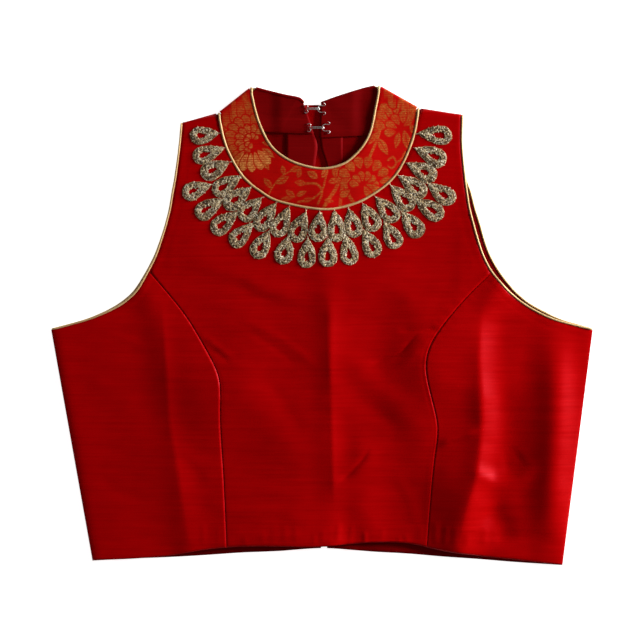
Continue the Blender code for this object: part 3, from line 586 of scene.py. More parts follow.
def waves(points, seed, count, shortest, longest, height):
    """A soft unevenness, from a few crossing waves."""
    dice = random.Random(seed)
    z = np.zeros(points.shape[:-1])
    for _ in range(count):
        size, angle, start = dice.uniform(shortest, longest), dice.uniform(0, math.pi), dice.uniform(0, 6.28)
        z += height * dice.uniform(0.5, 1.0) * np.sin(
            2 * math.pi * (points[..., 0] * math.cos(angle) + points[..., 1] * math.sin(angle)) / size + start
        )
    return z


def hem_puckers():
    """Short upright puckers above the hem, where it is sewn up."""
    dice = random.Random(41)
    found, x = [], 188.0
    while x < 498:
        low, lean = dice.uniform(543, 550), dice.uniform(-3, 3)
        height = dice.uniform(0.08, 0.26) if x < 322 else dice.uniform(0.20, 0.52)
        found.append(Fold("ridge", dice.uniform(2.0, 3.8), height, ((x, low), (x + lean, low - dice.uniform(12, 30)))))
        x += dice.uniform(8, 19)
    return found


def line_height(points, line):
    return np.interp(points[..., 0], *sorted_columns(line))


def stitched(points, line, first, last, size, height, seed):
    """Small ticks across a stretch beside a line, as where thread draws the cloth in."""
    away, along, whole = place_on(points, line)
    share = along / whole
    dice = random.Random(seed)
    bend = dice.uniform(0, 6.28)
    window = ease((share - first) / 0.06) * ease((last - share) / 0.06)
    wave = np.sin(2 * math.pi * along / size + 1.3 * np.sin(2 * math.pi * along / (size * 4.7) + bend))
    return height * window * wave * np.exp(-(((np.abs(away) - 2.5) / 4.0) ** 2))


HEM_PUCKERS = hem_puckers()
DROP_MIDDLES = photo([(d.x, d.y) for d in INNER_DROPS + OUTER_DROPS])


def detail(points):
    """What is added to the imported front's form: folds, puckers, sewn edges and a soft unevenness."""
    z = fold_height(points, FOLDS) + fold_height(points, HEM_PUCKERS)
    for form in FORMS:
        away = np.hypot((points[..., 0] - form.x) / form.half_width, (points[..., 1] - form.y) / form.half_length)
        z = z + form.height * 0.5 * (1 + np.cos(np.pi * np.minimum(away, 1)))
    z += waves(points, 7, 7, 38, 120, 0.09) + waves(points, 12, 6, 14, 34, 0.022)
    above = points[..., 1] - line_height(points, FRONT_HEM)
    z -= 0.10 * np.exp(-(((above - 17.5 - 1.2 * np.sin(points[..., 0] / 23)) / 2.6) ** 2)) + 0.35 * np.exp(-((np.maximum(above, 0) / 1.4) ** 2))
    for side in OUT:
        away = distance_to(points, PRINCESS[side])
        z -= 0.20 * np.exp(-((away / 0.9) ** 2))
        arm = ARM[side, "front"]
        away = distance_to(points, arm)
        z -= 0.35 * np.exp(-((np.maximum(away - 1.2, 0) / 1.2) ** 2)) + 0.14 * np.exp(-(((away - 7.5) / 1.2) ** 2))
        z += stitched(points, arm, 0.0, 0.52, 5.6, 0.10, 5) if side == "right" else stitched(points, arm, 0.42, 0.86, 4.8, 0.12, 6)
        z += stitched(points, PRINCESS[side], 0.45, 0.97, 9.0, 0.10, 8 + OUT[side])
    z -= 0.35 * np.exp(-((np.maximum(distance_to(points, SEAM_LINE) - 1.4, 0) / 1.3) ** 2))
    z += stitched(points, SEAM_LINE, 0.05, 0.95, 7.5, 0.07, 9)
    near = np.abs(points[..., 1] - 300.0) < 110
    dents = np.zeros(z.shape)
    for middle in DROP_MIDDLES:
        dents[near] += np.exp(-(((points[near] - middle) ** 2).sum(axis=-1) / 64.0))
    return z - 0.22 * dents


def turned_down(points, z, seam, radius):
    near = np.clip((distance_to(points, seam) - CLOTH / 2) / radius, 0, 1)
    return SEAM_END + (z - SEAM_END) * np.sqrt(1 - (1 - near) ** 2)


def placket_lift(points):
    x = points[..., 0]
    outside = np.maximum(LIFT_LEFT - x, x - LIFT_RIGHT) / LIFT_RUN
    return PLACKET_LIFT * (1 - ease(outside))


# Folds of the hidden back, in the photograph's pixels: its seams and a few creases like the front's.
BACK_FOLDS = [
    Fold("crease", 6.0, 0.55, ((214, 550), (212, 480), (214, 410), (208, 350), (196, 300), (170, 250))),
    Fold("crease", 6.0, 0.55, ((432, 550), (436, 480), (434, 410), (440, 350), (456, 300), (480, 256))),
    Fold("crease", 7.0, 0.50, ((160, 290), (166, 360), (172, 430), (186, 540))),
    Fold("ridge", 9.0, 0.60, ((500, 300), (508, 380), (500, 460), (478, 540))),
    Fold("ridge", 6.0, 0.40, ((230, 300), (270, 330), (300, 372))),
    Fold("ridge", 6.0, 0.40, ((420, 310), (380, 340), (352, 384))),
    Fold("crease", 5.0, 0.30, ((70, 452), (120, 446), (190, 438))),
    Fold("crease", 5.0, 0.30, ((440, 446), (500, 440), (580, 428))),
    Fold("ridge", 8.0, 0.50, ((120, 372), (150, 410), (156, 460))),
    Fold("ridge", 8.0, 0.45, ((300, 440), (268, 470), (250, 520))),
    Fold("ridge", 7.0, 0.40, ((372, 430), (392, 470), (396, 520))),
]


def back_detail(points):
    """Folds of the back, which only lift it off the surface, never press into it."""
    z = np.maximum(fold_height(points, BACK_FOLDS), 0)
    z += 0.10 * np.maximum(waves(points, 23, 6, 30, 90, 0.6) - 0.35, 0)
    edge = np.minimum(distance_to(points, ARM["left", "back"]), distance_to(points, ARM["right", "back"]))
    return z * ease(edge / 9.0)


# --- materials --------------------------------------------------------------------------------------


class Nodes:
    """A short way to build one material's nodes."""

    def __init__(self, name):
        self.material = bpy.data.materials.new(name)
        self.material.use_nodes = True
        self.tree = self.material.node_tree
        self.shader = self.tree.nodes["Principled BSDF"]

    def add(self, kind, **values):
        node = self.tree.nodes.new(kind)
        for key, value in values.items():
            setattr(node, key, value)
        return node

    def link(self, start, end):
        self.tree.links.new(start, end)

    def put(self, node, **values):
        for key, value in values.items():
            socket = node.inputs[key.replace("_", " ")]
            if hasattr(value, "is_linked"):
                self.link(value, socket)
            else:
                socket.default_value = value
        return node

    def place(self, scale, turn=(0, 0, 0)):
        """Object coordinates, stretched by this much along each axis."""
        where = self.add("ShaderNodeTexCoord").outputs["Object"]
        mapping = self.add("ShaderNodeMapping")
        mapping.inputs["Scale"].default_value = scale
        mapping.inputs["Rotation"].default_value = turn
        self.link(where, mapping.inputs["Vector"])
        return mapping.outputs["Vector"]

    def noise(self, scale, detail=2.0, rough=0.5, turn=(0, 0, 0)):
        node = self.add("ShaderNodeTexNoise")
        self.put(node, Vector=self.place(scale, turn), Scale=1.0, Detail=detail, Roughness=rough)
        return node.outputs["Fac"]

    def ramp(self, value, stops):
        node = self.add("ShaderNodeValToRGB")
        for _ in range(len(stops) - 2):
            node.color_ramp.elements.new(0.5)
        for element, (where, colour) in zip(node.color_ramp.elements, stops):
            element.position = where
            element.color = (*colour, 1) if len(colour) == 3 else colour
        self.link(value, node.inputs["Fac"])
        return node.outputs["Color"]

    def mix(self, share, first, second, blend="MIX"):
        node = self.add("ShaderNodeMix", data_type="RGBA", blend_type=blend)
        for socket, value in ((node.inputs[0], share), (node.inputs[6], first), (node.inputs[7], second)):
            if hasattr(value, "is_linked"):
                self.link(value, socket)
            elif isinstance(value, (int, float)):
                socket.default_value = value
            else:
                socket.default_value = (*value, 1)
        return node.outputs[2]

    def maths(self, operation, first, second=0.0, third=None):
        node = self.add("ShaderNodeMath", operation=operation)
        for socket, value in zip(node.inputs, (first, second, third)):
            if value is None:
                continue
            if hasattr(value, "is_linked"):
                self.link(value, socket)
            else:
                socket.default_value = value
        return node.outputs[0]

    def span(self, value, low, high, out_low, out_high):
        node = self.add("ShaderNodeMapRange")
        self.put(node, Value=value)
        for key, number in (("From Min", low), ("From Max", high), ("To Min", out_low), ("To Max", out_high)):
            node.inputs[key].default_value = number
        return node.outputs[0]

    def attribute(self, name):
        return self.add("ShaderNodeAttribute", attribute_name=name).outputs["Fac"]

    def bump(self, height, strength, distance, under=None):
        node = self.add("ShaderNodeBump")
        self.put(node, Strength=strength, Distance=distance, Height=height)
        if under is not None:
            self.link(under, node.inputs["Normal"])
        return node.outputs["Normal"]


def silk(name, bright, dark, sheen, roughness):
    """Dupion silk: fine crosswise slubs, a soft cloudiness, and a reddish sheen."""
    n = Nodes(name)
    slub = n.noise((26.0, 900.0, 60.0), 3.0, 0.6)
    long_slub = n.noise((9.0, 330.0, 30.0), 2.0, 0.55)
    warp = n.noise((1500.0, 70.0, 60.0), 1.0)
    cloud = n.noise((16.0, 11.0, 10.0), 3.0, 0.55)
    streak = n.maths("ADD", n.maths("MULTIPLY", slub, 0.6), n.maths("MULTIPLY", long_slub, 0.4))
    tone = n.maths("ADD", n.maths("MULTIPLY", streak, 0.7), n.maths("MULTIPLY", cloud, 0.3))
    n.put(n.shader, Base_Color=n.ramp(tone, [(0.34, dark), (0.66, bright)]))
    n.put(n.shader, Roughness=n.span(streak, 0.3, 0.7, roughness - 0.06, roughness + 0.08))
    weave = n.maths("ADD", n.maths("MULTIPLY", slub, 0.75), n.maths("MULTIPLY", warp, 0.25))
    under = n.bump(long_slub, 0.20, 0.0005)
    n.put(n.shader, Normal=n.bump(weave, 0.22, 0.00025, under))
    n.shader.inputs["Specular IOR Level"].default_value = 0.24
    n.shader.inputs["Specular Tint"].default_value = (1.0, 0.0, 0.05, 1)
    n.shader.inputs["Sheen Weight"].default_value = sheen
    n.shader.inputs["Sheen Roughness"].default_value = 0.35
    n.shader.inputs["Sheen Tint"].default_value = (1.0, 0.0, 0.06, 1)
    return n.material


def brocade():
    """Red satin with figures in orange-gold thread, woven in fine crosswise lines."""
    n = Nodes("brocade")
    # the second attribute is a painted highlight, making each figure's gold paler where it shines
    mask, shine = n.attribute("zari"), n.attribute("zari_painted_highlight")
    row = n.add("ShaderNodeTexWave", bands_direction="Y")
    n.put(row, Vector=n.place((1.0, 1.0, 1.0)), Scale=165.0, Distortion=2.5, Detail=2.0, Detail_Scale=90.0)
    line = n.noise((60.0, 1150.0, 40.0), 2.0, 0.6)
    grain = n.noise((520.0, 900.0, 100.0), 2.0)
    worn = n.noise((170.0, 240.0, 60.0), 2.0)
    cover = n.maths("MULTIPLY", mask, n.span(row.outputs["Fac"], 0.15, 0.75, 0.45, 1.0))
    cover = n.maths("MULTIPLY", cover, n.span(grain, 0.32, 0.60, 0.35, 1.0))
    cover = n.maths("MULTIPLY", cover, n.span(worn, 0.34, 0.60, 0.55, 1.0))
    cloud = n.noise((30.0, 24.0, 20.0), 2.0)
    ground = n.maths("ADD", n.maths("MULTIPLY", cloud, 0.6), n.maths("MULTIPLY", line, 0.4))
    ground = n.ramp(ground, [(0.35, (0.38, 0.0006, 0.0006)), (0.65, (0.53, 0.0012, 0.0010))])
    gold = n.maths("ADD", n.maths("MULTIPLY", grain, 0.40), n.maths("MULTIPLY", shine, 0.60))
    gold = n.ramp(gold, [(0.15, (0.36, 0.070, 0.010)), (0.50, (0.52, 0.140, 0.024)), (0.90, (0.98, 0.46, 0.11))])
    n.put(n.shader, Base_Color=n.mix(cover, ground, gold))
    n.put(n.shader, Metallic=n.maths("MULTIPLY", cover, 0.35))
    n.put(n.shader, Roughness=n.span(cover, 0.0, 1.0, 0.46, 0.38))
    under = n.bump(cover, 0.35, 0.0003)
    n.put(n.shader, Normal=n.bump(line, 0.18, 0.00025, under))
    n.shader.inputs["Specular IOR Level"].default_value = 0.4
    n.shader.inputs["Specular Tint"].default_value = (1.0, 0.10, 0.06, 1)
    n.shader.inputs["Sheen Weight"].default_value = 0.06
    n.shader.inputs["Sheen Roughness"].default_value = 0.4
    n.shader.inputs["Sheen Tint"].default_value = (1.0, 0.04, 0.03, 1)
    return n.material


def satin_piping():
    """Antique gold satin over cord, with the slanted lines of a bias strip."""
    n = Nodes("gold_piping")
    rib = n.noise((700.0, 900.0, 500.0), 2.0, 0.6, (0, 0, 0.7))
    worn = n.noise((60.0, 50.0, 40.0), 3.0)
    tone = n.maths("ADD", n.maths("MULTIPLY", rib, 0.55), n.maths("MULTIPLY", worn, 0.45))
    n.put(n.shader, Base_Color=n.ramp(tone, [(0.30, (0.40, 0.23, 0.085)), (0.52, (0.60, 0.39, 0.17)), (0.75, (0.76, 0.56, 0.30))]))
    n.put(n.shader, Roughness=n.span(rib, 0.3, 0.7, 0.34, 0.5), Normal=n.bump(rib, 0.35, 0.0002))
    n.shader.inputs["Metallic"].default_value = 0.15
    n.shader.inputs["Specular Tint"].default_value = (1.0, 0.86, 0.62, 1)
    n.shader.inputs["Sheen Weight"].default_value = 0.15
    n.shader.inputs["Sheen Tint"].default_value = (1.0, 0.85, 0.6, 1)
    return n.material


def bullion():
    """Coiled metal thread in antique gold and silver, dark between its coils, where the pad beneath is dark brown as
    painted shade.
    """
    n = Nodes("bullion")
    tone = n.attribute("thread")
    coil = n.noise((2600.0, 2600.0, 2600.0), 2.0)
    shade = n.maths("ADD", n.maths("MULTIPLY", tone, 0.8), n.maths("MULTIPLY", coil, 0.2))
    stops = [(0.10, (0.035, 0.012, 0.008)), (0.34, (0.28, 0.17, 0.075)), (0.58, (0.78, 0.60, 0.32)), (0.84, (1.0, 0.92, 0.72))]
    n.put(n.shader, Base_Color=n.ramp(shade, stops))
    n.put(n.shader, Roughness=n.span(coil, 0.3, 0.7, 0.26, 0.46), Normal=n.bump(coil, 0.4, 0.0002))
    n.shader.inputs["Metallic"].default_value = 0.35
    return n.material


def plain_wire():
    n = Nodes("wire")
    mark = n.noise((900.0, 900.0, 900.0), 2.0)
    n.put(n.shader, Base_Color=n.ramp(mark, [(0.3, (0.50, 0.47, 0.44)), (0.7, (0.82, 0.80, 0.77))]))
    n.put(n.shader, Roughness=n.span(mark, 0.3, 0.7, 0.2, 0.38), Normal=n.bump(mark, 0.1, 0.0001))
    n.shader.inputs["Metallic"].default_value = 0.95
    return n.material


def thread(name, dark, bright):
    n = Nodes(name)
    ply = n.noise((1800.0, 1800.0, 1800.0), 1.0)
    n.put(n.shader, Base_Color=n.ramp(ply, [(0.3, dark), (0.7, bright)]), Normal=n.bump(ply, 0.3, 0.0001))
    n.put(n.shader, Roughness=n.span(ply, 0.3, 0.7, 0.5, 0.7))
    return n.material


def paper():
    n = Nodes("pale_floor")
    tooth = n.noise((300.0, 300.0, 300.0), 2.0)
    n.put(n.shader, Base_Color=n.ramp(tooth, [(0.3, (0.93, 0.93, 0.93)), (0.7, (0.96, 0.96, 0.96))]))
    n.shader.inputs["Roughness"].default_value = 0.9
    n.shader.inputs["Specular IOR Level"].default_value = 0.1
    n.shader.inputs["Emission Color"].default_value = (1, 1, 1, 1)
    n.shader.inputs["Emission Strength"].default_value = 0.85
    return n.material


LOOKS = {
    "red_silk": silk("red_silk", (0.41, 0.0001, 0.0003), (0.30, 0.0, 0.0001), 0.10, 0.38),
    "silk_inside": silk("silk_inside", (0.22, 0.0003, 0.0006), (0.16, 0.0002, 0.0003), 0.04, 0.60),
    "lining": silk("lining", (0.18, 0.0006, 0.0006), (0.135, 0.0004, 0.0004), 0.02, 0.62),
    "brocade": brocade(),
    "gold_piping": satin_piping(),
    "bullion": bullion(),
    "wire": plain_wire(),
    "red_thread": thread("red_thread", (0.10, 0.001, 0.001), (0.24, 0.004, 0.004)),
}


# --- making pieces ----------------------------------------------------------------------------------

SHIFT = np.array([*(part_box("back_placket")[0]), 0.0])[:3] / MM - np.array([-30.0, 16.0, 0.0])
SHIFT[2] = 0.0


def world(points):
    return (np.asarray(points, float) + SHIFT) * MM


def mesh_piece(name, points, faces, materials, smooth=True):
    data = bpy.data.meshes.new(name)
    data.from_pydata(world(points).tolist(), [], faces.tolist() if hasattr(faces, "tolist") else faces)
    data.update()
    data.polygons.foreach_set("use_smooth", [smooth] * len(data.polygons))
    for look in materials:
        data.materials.append(LOOKS[look])
    obj = bpy.data.objects.new(name, data)
    bpy.context.scene.collection.objects.link(obj)
    return obj


def grid_faces(rows, columns, close_rows=False, close_columns=False):
    r = np.arange(rows if close_rows else rows - 1)
    c = np.arange(columns if close_columns else columns - 1)
    r, c = np.meshgrid(r, c, indexing="ij")
    a = r * columns + c
    b = r * columns + (c + 1) % columns
    d = ((r + 1) % rows) * columns + c
    e = ((r + 1) % rows) * columns + (c + 1) % columns
    return np.stack([a, b, e, d], axis=-1).reshape(-1, 4)


def cloth(name, node, points, look, wall=SILK, offset=0.0, inside=None):
    """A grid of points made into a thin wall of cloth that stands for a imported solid."""
    rows, columns = points.shape[:2]
    faces = grid_faces(rows, columns)
    flat = points.reshape(-1, 3)
    a, b, d = flat[faces[:, 0]], flat[faces[:, 1]], flat[faces[:, 3]]
    if np.cross(b - a, d - a)[:, 2].sum() < 0:
        faces = faces[:, ::-1]
    obj = mesh_piece(name, flat, faces, [look, inside or look])
    wall_modifier = obj.modifiers.new("wall", "SOLIDIFY")
    wall_modifier.thickness = wall * MM
    wall_modifier.offset = offset
    wall_modifier.use_even_offset = False
    wall_modifier.material_offset = 1
    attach(obj, "root")
    if node:
        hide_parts(node)
    return obj


def tube(path, radius, sides=8, closed=False, roundness=None):
    """(points, faces) of a round tube along a path. radius may be one number or one for each point."""
    path = np.asarray(path, float)
    count = len(path)
    if closed:
        run = np.roll(path, -1, axis=0) - np.roll(path, 1, axis=0)
    else:
        run = np.gradient(path, axis=0)
    run /= np.maximum(np.linalg.norm(run, axis=1, keepdims=True), 1e-9)
    up = np.tile([0.0, 0.0, 1.0], (count, 1))
    steep = np.abs(run[:, 2]) > 0.97
    up[steep] = [1.0, 0.0, 0.0]
    side = np.cross(run, up)
    side /= np.maximum(np.linalg.norm(side, axis=1, keepdims=True), 1e-9)
    for k in range(1, count):
        if side[k] @ side[k - 1] < 0:
            side[k] = -side[k]
    over = np.cross(side, run)
    angle = np.linspace(0, 2 * math.pi, sides, endpoint=False)
    radius = np.broadcast_to(np.asarray(radius, float), (count,))[:, None, None]
    points = path[:, None] + radius * (np.cos(angle)[None, :, None] * side[:, None] + np.sin(angle)[None, :, None] * over[:, None])
    faces = grid_faces(count, sides, close_rows=closed, close_columns=True)
    points = points.reshape(-1, 3)
    if not closed:
        first, last = len(points), len(points) + 1
        points = np.vstack([points, path[0], path[-1]])
        caps = [[first, (k + 1) % sides, k, k] for k in range(sides)]
        caps += [[last, (count - 1) * sides + k, (count - 1) * sides + (k + 1) % sides] * 1 + [last] for k in range(sides)]
        return points, faces, caps
    return points, faces, []


class Heap:
    """Many small shapes gathered into one mesh, each with its own tone."""

    def __init__(self):
        self.points, self.faces, self.tones, self.count = [], [], [], 0

    def take(self, points, faces, tone=0.5, caps=()):
        for face in faces:
            self.faces.append([int(k) + self.count for k in face])
        for cap in caps:
            self.faces.append([int(k) + self.count for k in dict.fromkeys(cap)])
        self.points.append(np.asarray(points, float))
        self.tones.append(np.full(len(points), tone))
        self.count += len(points)

    def take_tube(self, path, radius, sides=6, closed=False, tone=0.5):
        points, faces, caps = tube(path, radius, sides, closed)
        self.take(points, faces, tone, caps)

    def piece(self, name, looks, slot, node=None, attribute="thread"):
        obj = mesh_piece(name, np.vstack(self.points), self.faces, looks)
        tones = obj.data.attributes.new(attribute, "FLOAT", "POINT")
        tones.data.foreach_set("value", np.concatenate(self.tones).astype(np.float32))
        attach(obj, "root")
        if node:
            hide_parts(node)
        return obj


# --- the panels -------------------------------------------------------------------------------------


def inward(side):
    run = unit(CORNERS[side]["shoulder"][1] - CORNERS[side]["shoulder"][0])
    return np.array([run[1], -run[0]]) * (-1 if side == "left" else 1)


def front_arm_shares():
    even = [(1 - 4.2 / 135) * k / (ARM_STEPS - 6) for k in range(1, ARM_STEPS - 5)]
    return even + [1 - d / 135 for d in (3.3, 2.5, 1.9, 1.4, 1.0, 0.6)]


def front_side_edge(side):
    seam = beside(PRINCESS[side], SEAM_GAP / 2 * OUT[side])
    arm = between(beside(ARM[side, "front"], ARM_EDGE * OUT[side]), seam[-1], CORNERS[side]["shoulder"][1])
    seam = pinned(seam, on(FRONT_HEM, seam[0]), arm[0])
    return np.vstack([at(seam, steps(SEAM_STEPS, True)), at(arm, front_arm_shares())])


def front_centre_flat():
    neck = moved(by_row(SEAM_LINE, steps(2 * NECK_STEPS, True)), -NECK_EDGE)
    edges = {side: front_side_edge(side) for side in OUT}
    shoulders = {}
    for side in OUT:
        corner = neck[0 if side == "left" else -1]
        corner = corner + 1.25 * unit(CORNERS[side]["shoulder"][1] - CORNERS[side]["shoulder"][0])
        corner = corner + CLOTH / 2 * inward(side)
        shoulders[side] = np.linspace(edges[side][-1], corner, SHOULDER_STEPS)
    middle = neck[NECK_STEPS]
    top_left = np.vstack([shoulders["left"], neck[SKIP : NECK_STEPS + 1]])
    top_right = np.vstack([neck[NECK_STEPS:-SKIP], shoulders["right"][::-1]])
    hem_middle = on(FRONT_HEM, CREASE_CENTRE[0])
    share = lengths(edges["left"]) / lengths(edges["left"])[-1]
    centre = at(pinned(spline(CREASE_CENTRE), hem_middle, middle), share)
    low_left = at(between(FRONT_HEM, edges["left"][0], hem_middle), steps(len(top_left) - 1, True))
    low_right = at(between(FRONT_HEM, hem_middle, edges["right"][0]), steps(len(top_right) - 1, True))
    grid = joined(
        patch(edges["left"], centre, low_left, top_left),
        patch(centre, edges["right"], low_right, top_right),
    )
    for _ in range(60):  # evens out the rows that the seams' and the neck's corners bend sharply
        grid[1:-1, 1:-1] = 0.25 * (grid[:-2, 1:-1] + grid[2:, 1:-1] + grid[1:-1, :-2] + grid[1:-1, 2:])
    return grid


def front_side_flat(side):
    seam, radius = CORNERS[side]["seam"], TURN_LEFT if side == "left" else TURN_RIGHT
    princess = beside(PRINCESS[side], -SEAM_GAP / 2 * OUT[side])
    arm = beside(ARM[side, "front"], ARM_EDGE * OUT[side])
    rows = steps(SEAM_STEPS, True)
    low = [on(FRONT_HEM, p) for p in (seam[0], CREASE[side][0], princess[0])]
    high = [on(arm, p) for p in (seam[1], CREASE[side][-1], princess[-1])]
    edge = at(np.array([low[0], high[0]]), rows)
    crease = at(pinned(CREASE[side], low[1], high[1]), rows)
    princess = at(pinned(princess, low[2], high[2]), rows)
    rounded = [(CLOTH / 2 + radius * (1 - math.sin(math.radians(a)))) / 84.0 for a in (90, 80, 70, 60, 50, 40, 30, 20, 10)]
    outer = rounded + list(np.linspace(rounded[-1], 1, 34)[1:])
    inner = steps(22, True)

    def along(curve, a, b, shares):
        return at(between(curve, a, b), shares)

    width_low, width_high = (along(FRONT_HEM, low[0], low[1], [0] + outer), along(arm, high[0], high[1], [0] + outer))
    whole = patch(edge, crease, width_low, width_high)[:, 1:]
    rest = patch(crease, princess, along(FRONT_HEM, low[1], low[2], inner), along(arm, high[1], high[2], inner))
    return joined(whole, rest)


def back_columns(side):
    if side == "left":
        return [FACING_LEFT, LIFT_LEFT, LIFT_LEFT - LIFT_RUN]
    return [FACING_RIGHT, LIFT_RIGHT, LIFT_RIGHT + LIFT_RUN]


def back_flat(side):
    seam, shoulder = CORNERS[side]["seam"], CORNERS[side]["shoulder"]
    arm = beside(ARM[side, "back"], ARM_EDGE * OUT[side])
    arm = pinned(arm, on(arm, seam[1]), arm[-1])
    neck = spline(seam_rows(COLLAR_BACKS[side]), 40)[::-1]
    neck = moved(neck, NECK_EDGE * (1 if side == "left" else -1))
    edge = spline([SeamRow(getattr(row, side), row.y) for row in OPENING[:-1]])
    edge = pinned(edge, on(BACK_HEM, edge[0]), neck[0])
    low_corner, armpit = on(BACK_HEM, seam[0]), arm[0]
    bend = nearest(edge, (edge[0][0], 215.0))
    upper = [(1 - 3.4 / 156) * k / (BACK_HIGH_STEPS - 2) for k in range(1, BACK_HIGH_STEPS - 1)] + [1 - 1.6 / 156, 1.0]
    opening = np.vstack([at(edge, [bend * f for f in steps(BACK_LOW_STEPS)]), at(edge, [bend])])
    opening = np.vstack([opening, at(edge, [bend + (1 - bend) * f for f in upper])])
    outer = np.vstack([at(np.array([low_corner, armpit]), steps(BACK_LOW_STEPS, True)), at(arm, upper)])
    share = lengths(opening) / lengths(opening)[-1]
    corner = neck[-1] + 1.4 * unit(shoulder[1] - shoulder[0]) + 0.4 * inward(side)
    marks = back_columns(side)
    highs = [on(neck, (x, np.interp(x, *sorted_columns(neck)))) for x in marks]
    lows = [on(BACK_HEM, (x, 12.0)) for x in marks]
    found, left, low, high = [], opening, opening[0], opening[-1]
    for mark_low, mark_high, count in zip(lows, highs, BACK_COUNTS):
        right = at(np.array([mark_low, mark_high]), share)
        shares = steps(count, True)
        found.append(patch(left, right, at(between(BACK_HEM, low, mark_low), shares), at(between(neck, high, mark_high), shares)))
        left, low, high = right, mark_low, mark_high
    top = at(between(neck, high, neck[-1]), [k / (BACK_NECK_STEPS + 1) for k in range(BACK_NECK_STEPS + 1)])
    top = np.vstack([top, at(np.array([corner, arm[-1]]), steps(12, True))])
    found.append(patch(left, outer, at(between(BACK_HEM, low, low_corner), steps(len(top) - 1, True)), top))
    return joined(*found)


def front_points(flat, seams):
    z = front_height(flat) + detail(flat)
    for seam, radius in seams:
        z = turned_down(flat, z, seam, radius)
    return with_z(flat, z)


FRONT_CENTRE = front_centre_flat()
FRONT_SIDES = {side: front_side_flat(side) for side in OUT}
BACKS = {side: back_flat(side) for side in OUT}

front_points_centre = front_points(FRONT_CENTRE, [(SHOULDER_LEFT, TURN_SHOULDER), (SHOULDER_RIGHT, TURN_SHOULDER)])
cloth("silk_front_centre", "front_centre", front_points_centre, "red_silk", inside="silk_inside")
for which in OUT:
    turn_radius = 8.0 if which == "left" else 25.0
    side_points = front_points(FRONT_SIDES[which], [(CORNERS[which]["seam"], turn_radius)])
    cloth(f"silk_front_side_{which}", f"front_side_{which}", side_points, "red_silk", inside="silk_inside")
    back_z = placket_lift(BACKS[which]) + back_detail(BACKS[which])
    cloth(f"silk_back_{which}", f"back_{which}", with_z(BACKS[which], back_z), "silk_inside", offset=1.0,
          inside="red_silk")


def placket_points():
    ys = np.concatenate([np.linspace(16.0, 392.2, 150)])
    rows = [row.y for row in OPENING]
    left = np.interp(ys, rows, [row.strip_left for row in OPENING])
    right = np.interp(ys, rows, [row.strip_right for row in OPENING])
    flat = np.stack([np.stack([left + (right - left) * s, ys], axis=1) for s in steps(12, True)], axis=1)
    middle = np.sin(np.linspace(0, math.pi, 13))[None, :]
    ripple = 0.16 * (1 + np.sin(flat[..., 1] / 6.0 + np.sin(flat[..., 1] / 17.0))) * middle
    return with_z(flat, ripple)


cloth("silk_placket", "back_placket", placket_points(), "red_silk", offset=1.0)


def facing_points(side):
    flat = BACKS[side][:, : BACK_COUNTS[0] + 1]
    rows = [k for k in range(len(flat) - 1) if flat[k, 0, 1] >= FACING_END]
    flat = flat[rows]
    z = placket_lift(flat) + CLOTH + GAP + 0.05 + 0.12 * (1 + np.sin(flat[..., 1] / 5.2 + flat[..., 0] / 9.0)) * ease((flat[..., 1] - FACING_END) / 20)
    return with_z(flat, z)


def back_neck(side):
    edge = BACKS[side][-1][:NECK_COLUMNS]
    seam = moved(edge, NECK_EDGE * (-1 if side == "left" else 1))
    seam_line, top_line = spline(seam_rows(COLLAR_BACKS[side]), 60)[::-1], spline(top_rows(COLLAR_BACKS[side]), 60)[::-1]
    shares = [nearest_index(seam_line, p) / (len(seam_line) - 1) for p in seam]
    return edge, seam, by_row(top_line, shares)


def collar_fold(side):
    foot, peak = np.array(CORNERS[side]["neck"]), np.array(CORNERS[side]["peak"])
    along = unit(peak - foot)
    outward = np.array([-along[1], along[0]]) if side == "left" else np.array([along[1], -along[0]])
    return foot + 1.3 * along, peak - 1.3 * along, outward


def collar_height(flat, share, across):
    standing = front_height(flat) + 1.6 * across
    rising = ease(np.minimum(share, 1 - share) / 0.16)
    return COLLAR_FOLD + (standing - COLLAR_FOLD) * rising


ACROSS = np.linspace(0, 1, 55)


def band(low, high):
    return np.array([low + (high - low) * w for w in ACROSS])


def collar_bend(side):
    foot, peak, outward = collar_fold(side)
    bend = (COLLAR_FOLD - COLLAR_BACK) / 2
    axis = -outward * (bend + CLOTH / 2)
    stations = []
    for angle in np.linspace(0, math.pi, 13):
        shift = axis + outward * bend * math.sin(angle)
        z = (COLLAR_FOLD + COLLAR_BACK) / 2 + bend * math.cos(angle)
        stations.append(with_z(np.array([foot + (peak - foot) * w + shift for w in ACROSS]), z))
    return stations


def collar_back(side):
    _, seam, top = back_neck(side)
    toward = NECK_EDGE * (1 if side == "left" else -1)
    lows, highs = moved(seam, -toward), moved(top, toward)
    highs[-1] += 0.2 * unit(lows[-1] - highs[-1])
    stations = [band(low, high) for low, high in zip(lows, highs)]
    return [with_z(flat, COLLAR_BACK + placket_lift(flat)) for flat in stations]


COLLAR_STEPS = 500


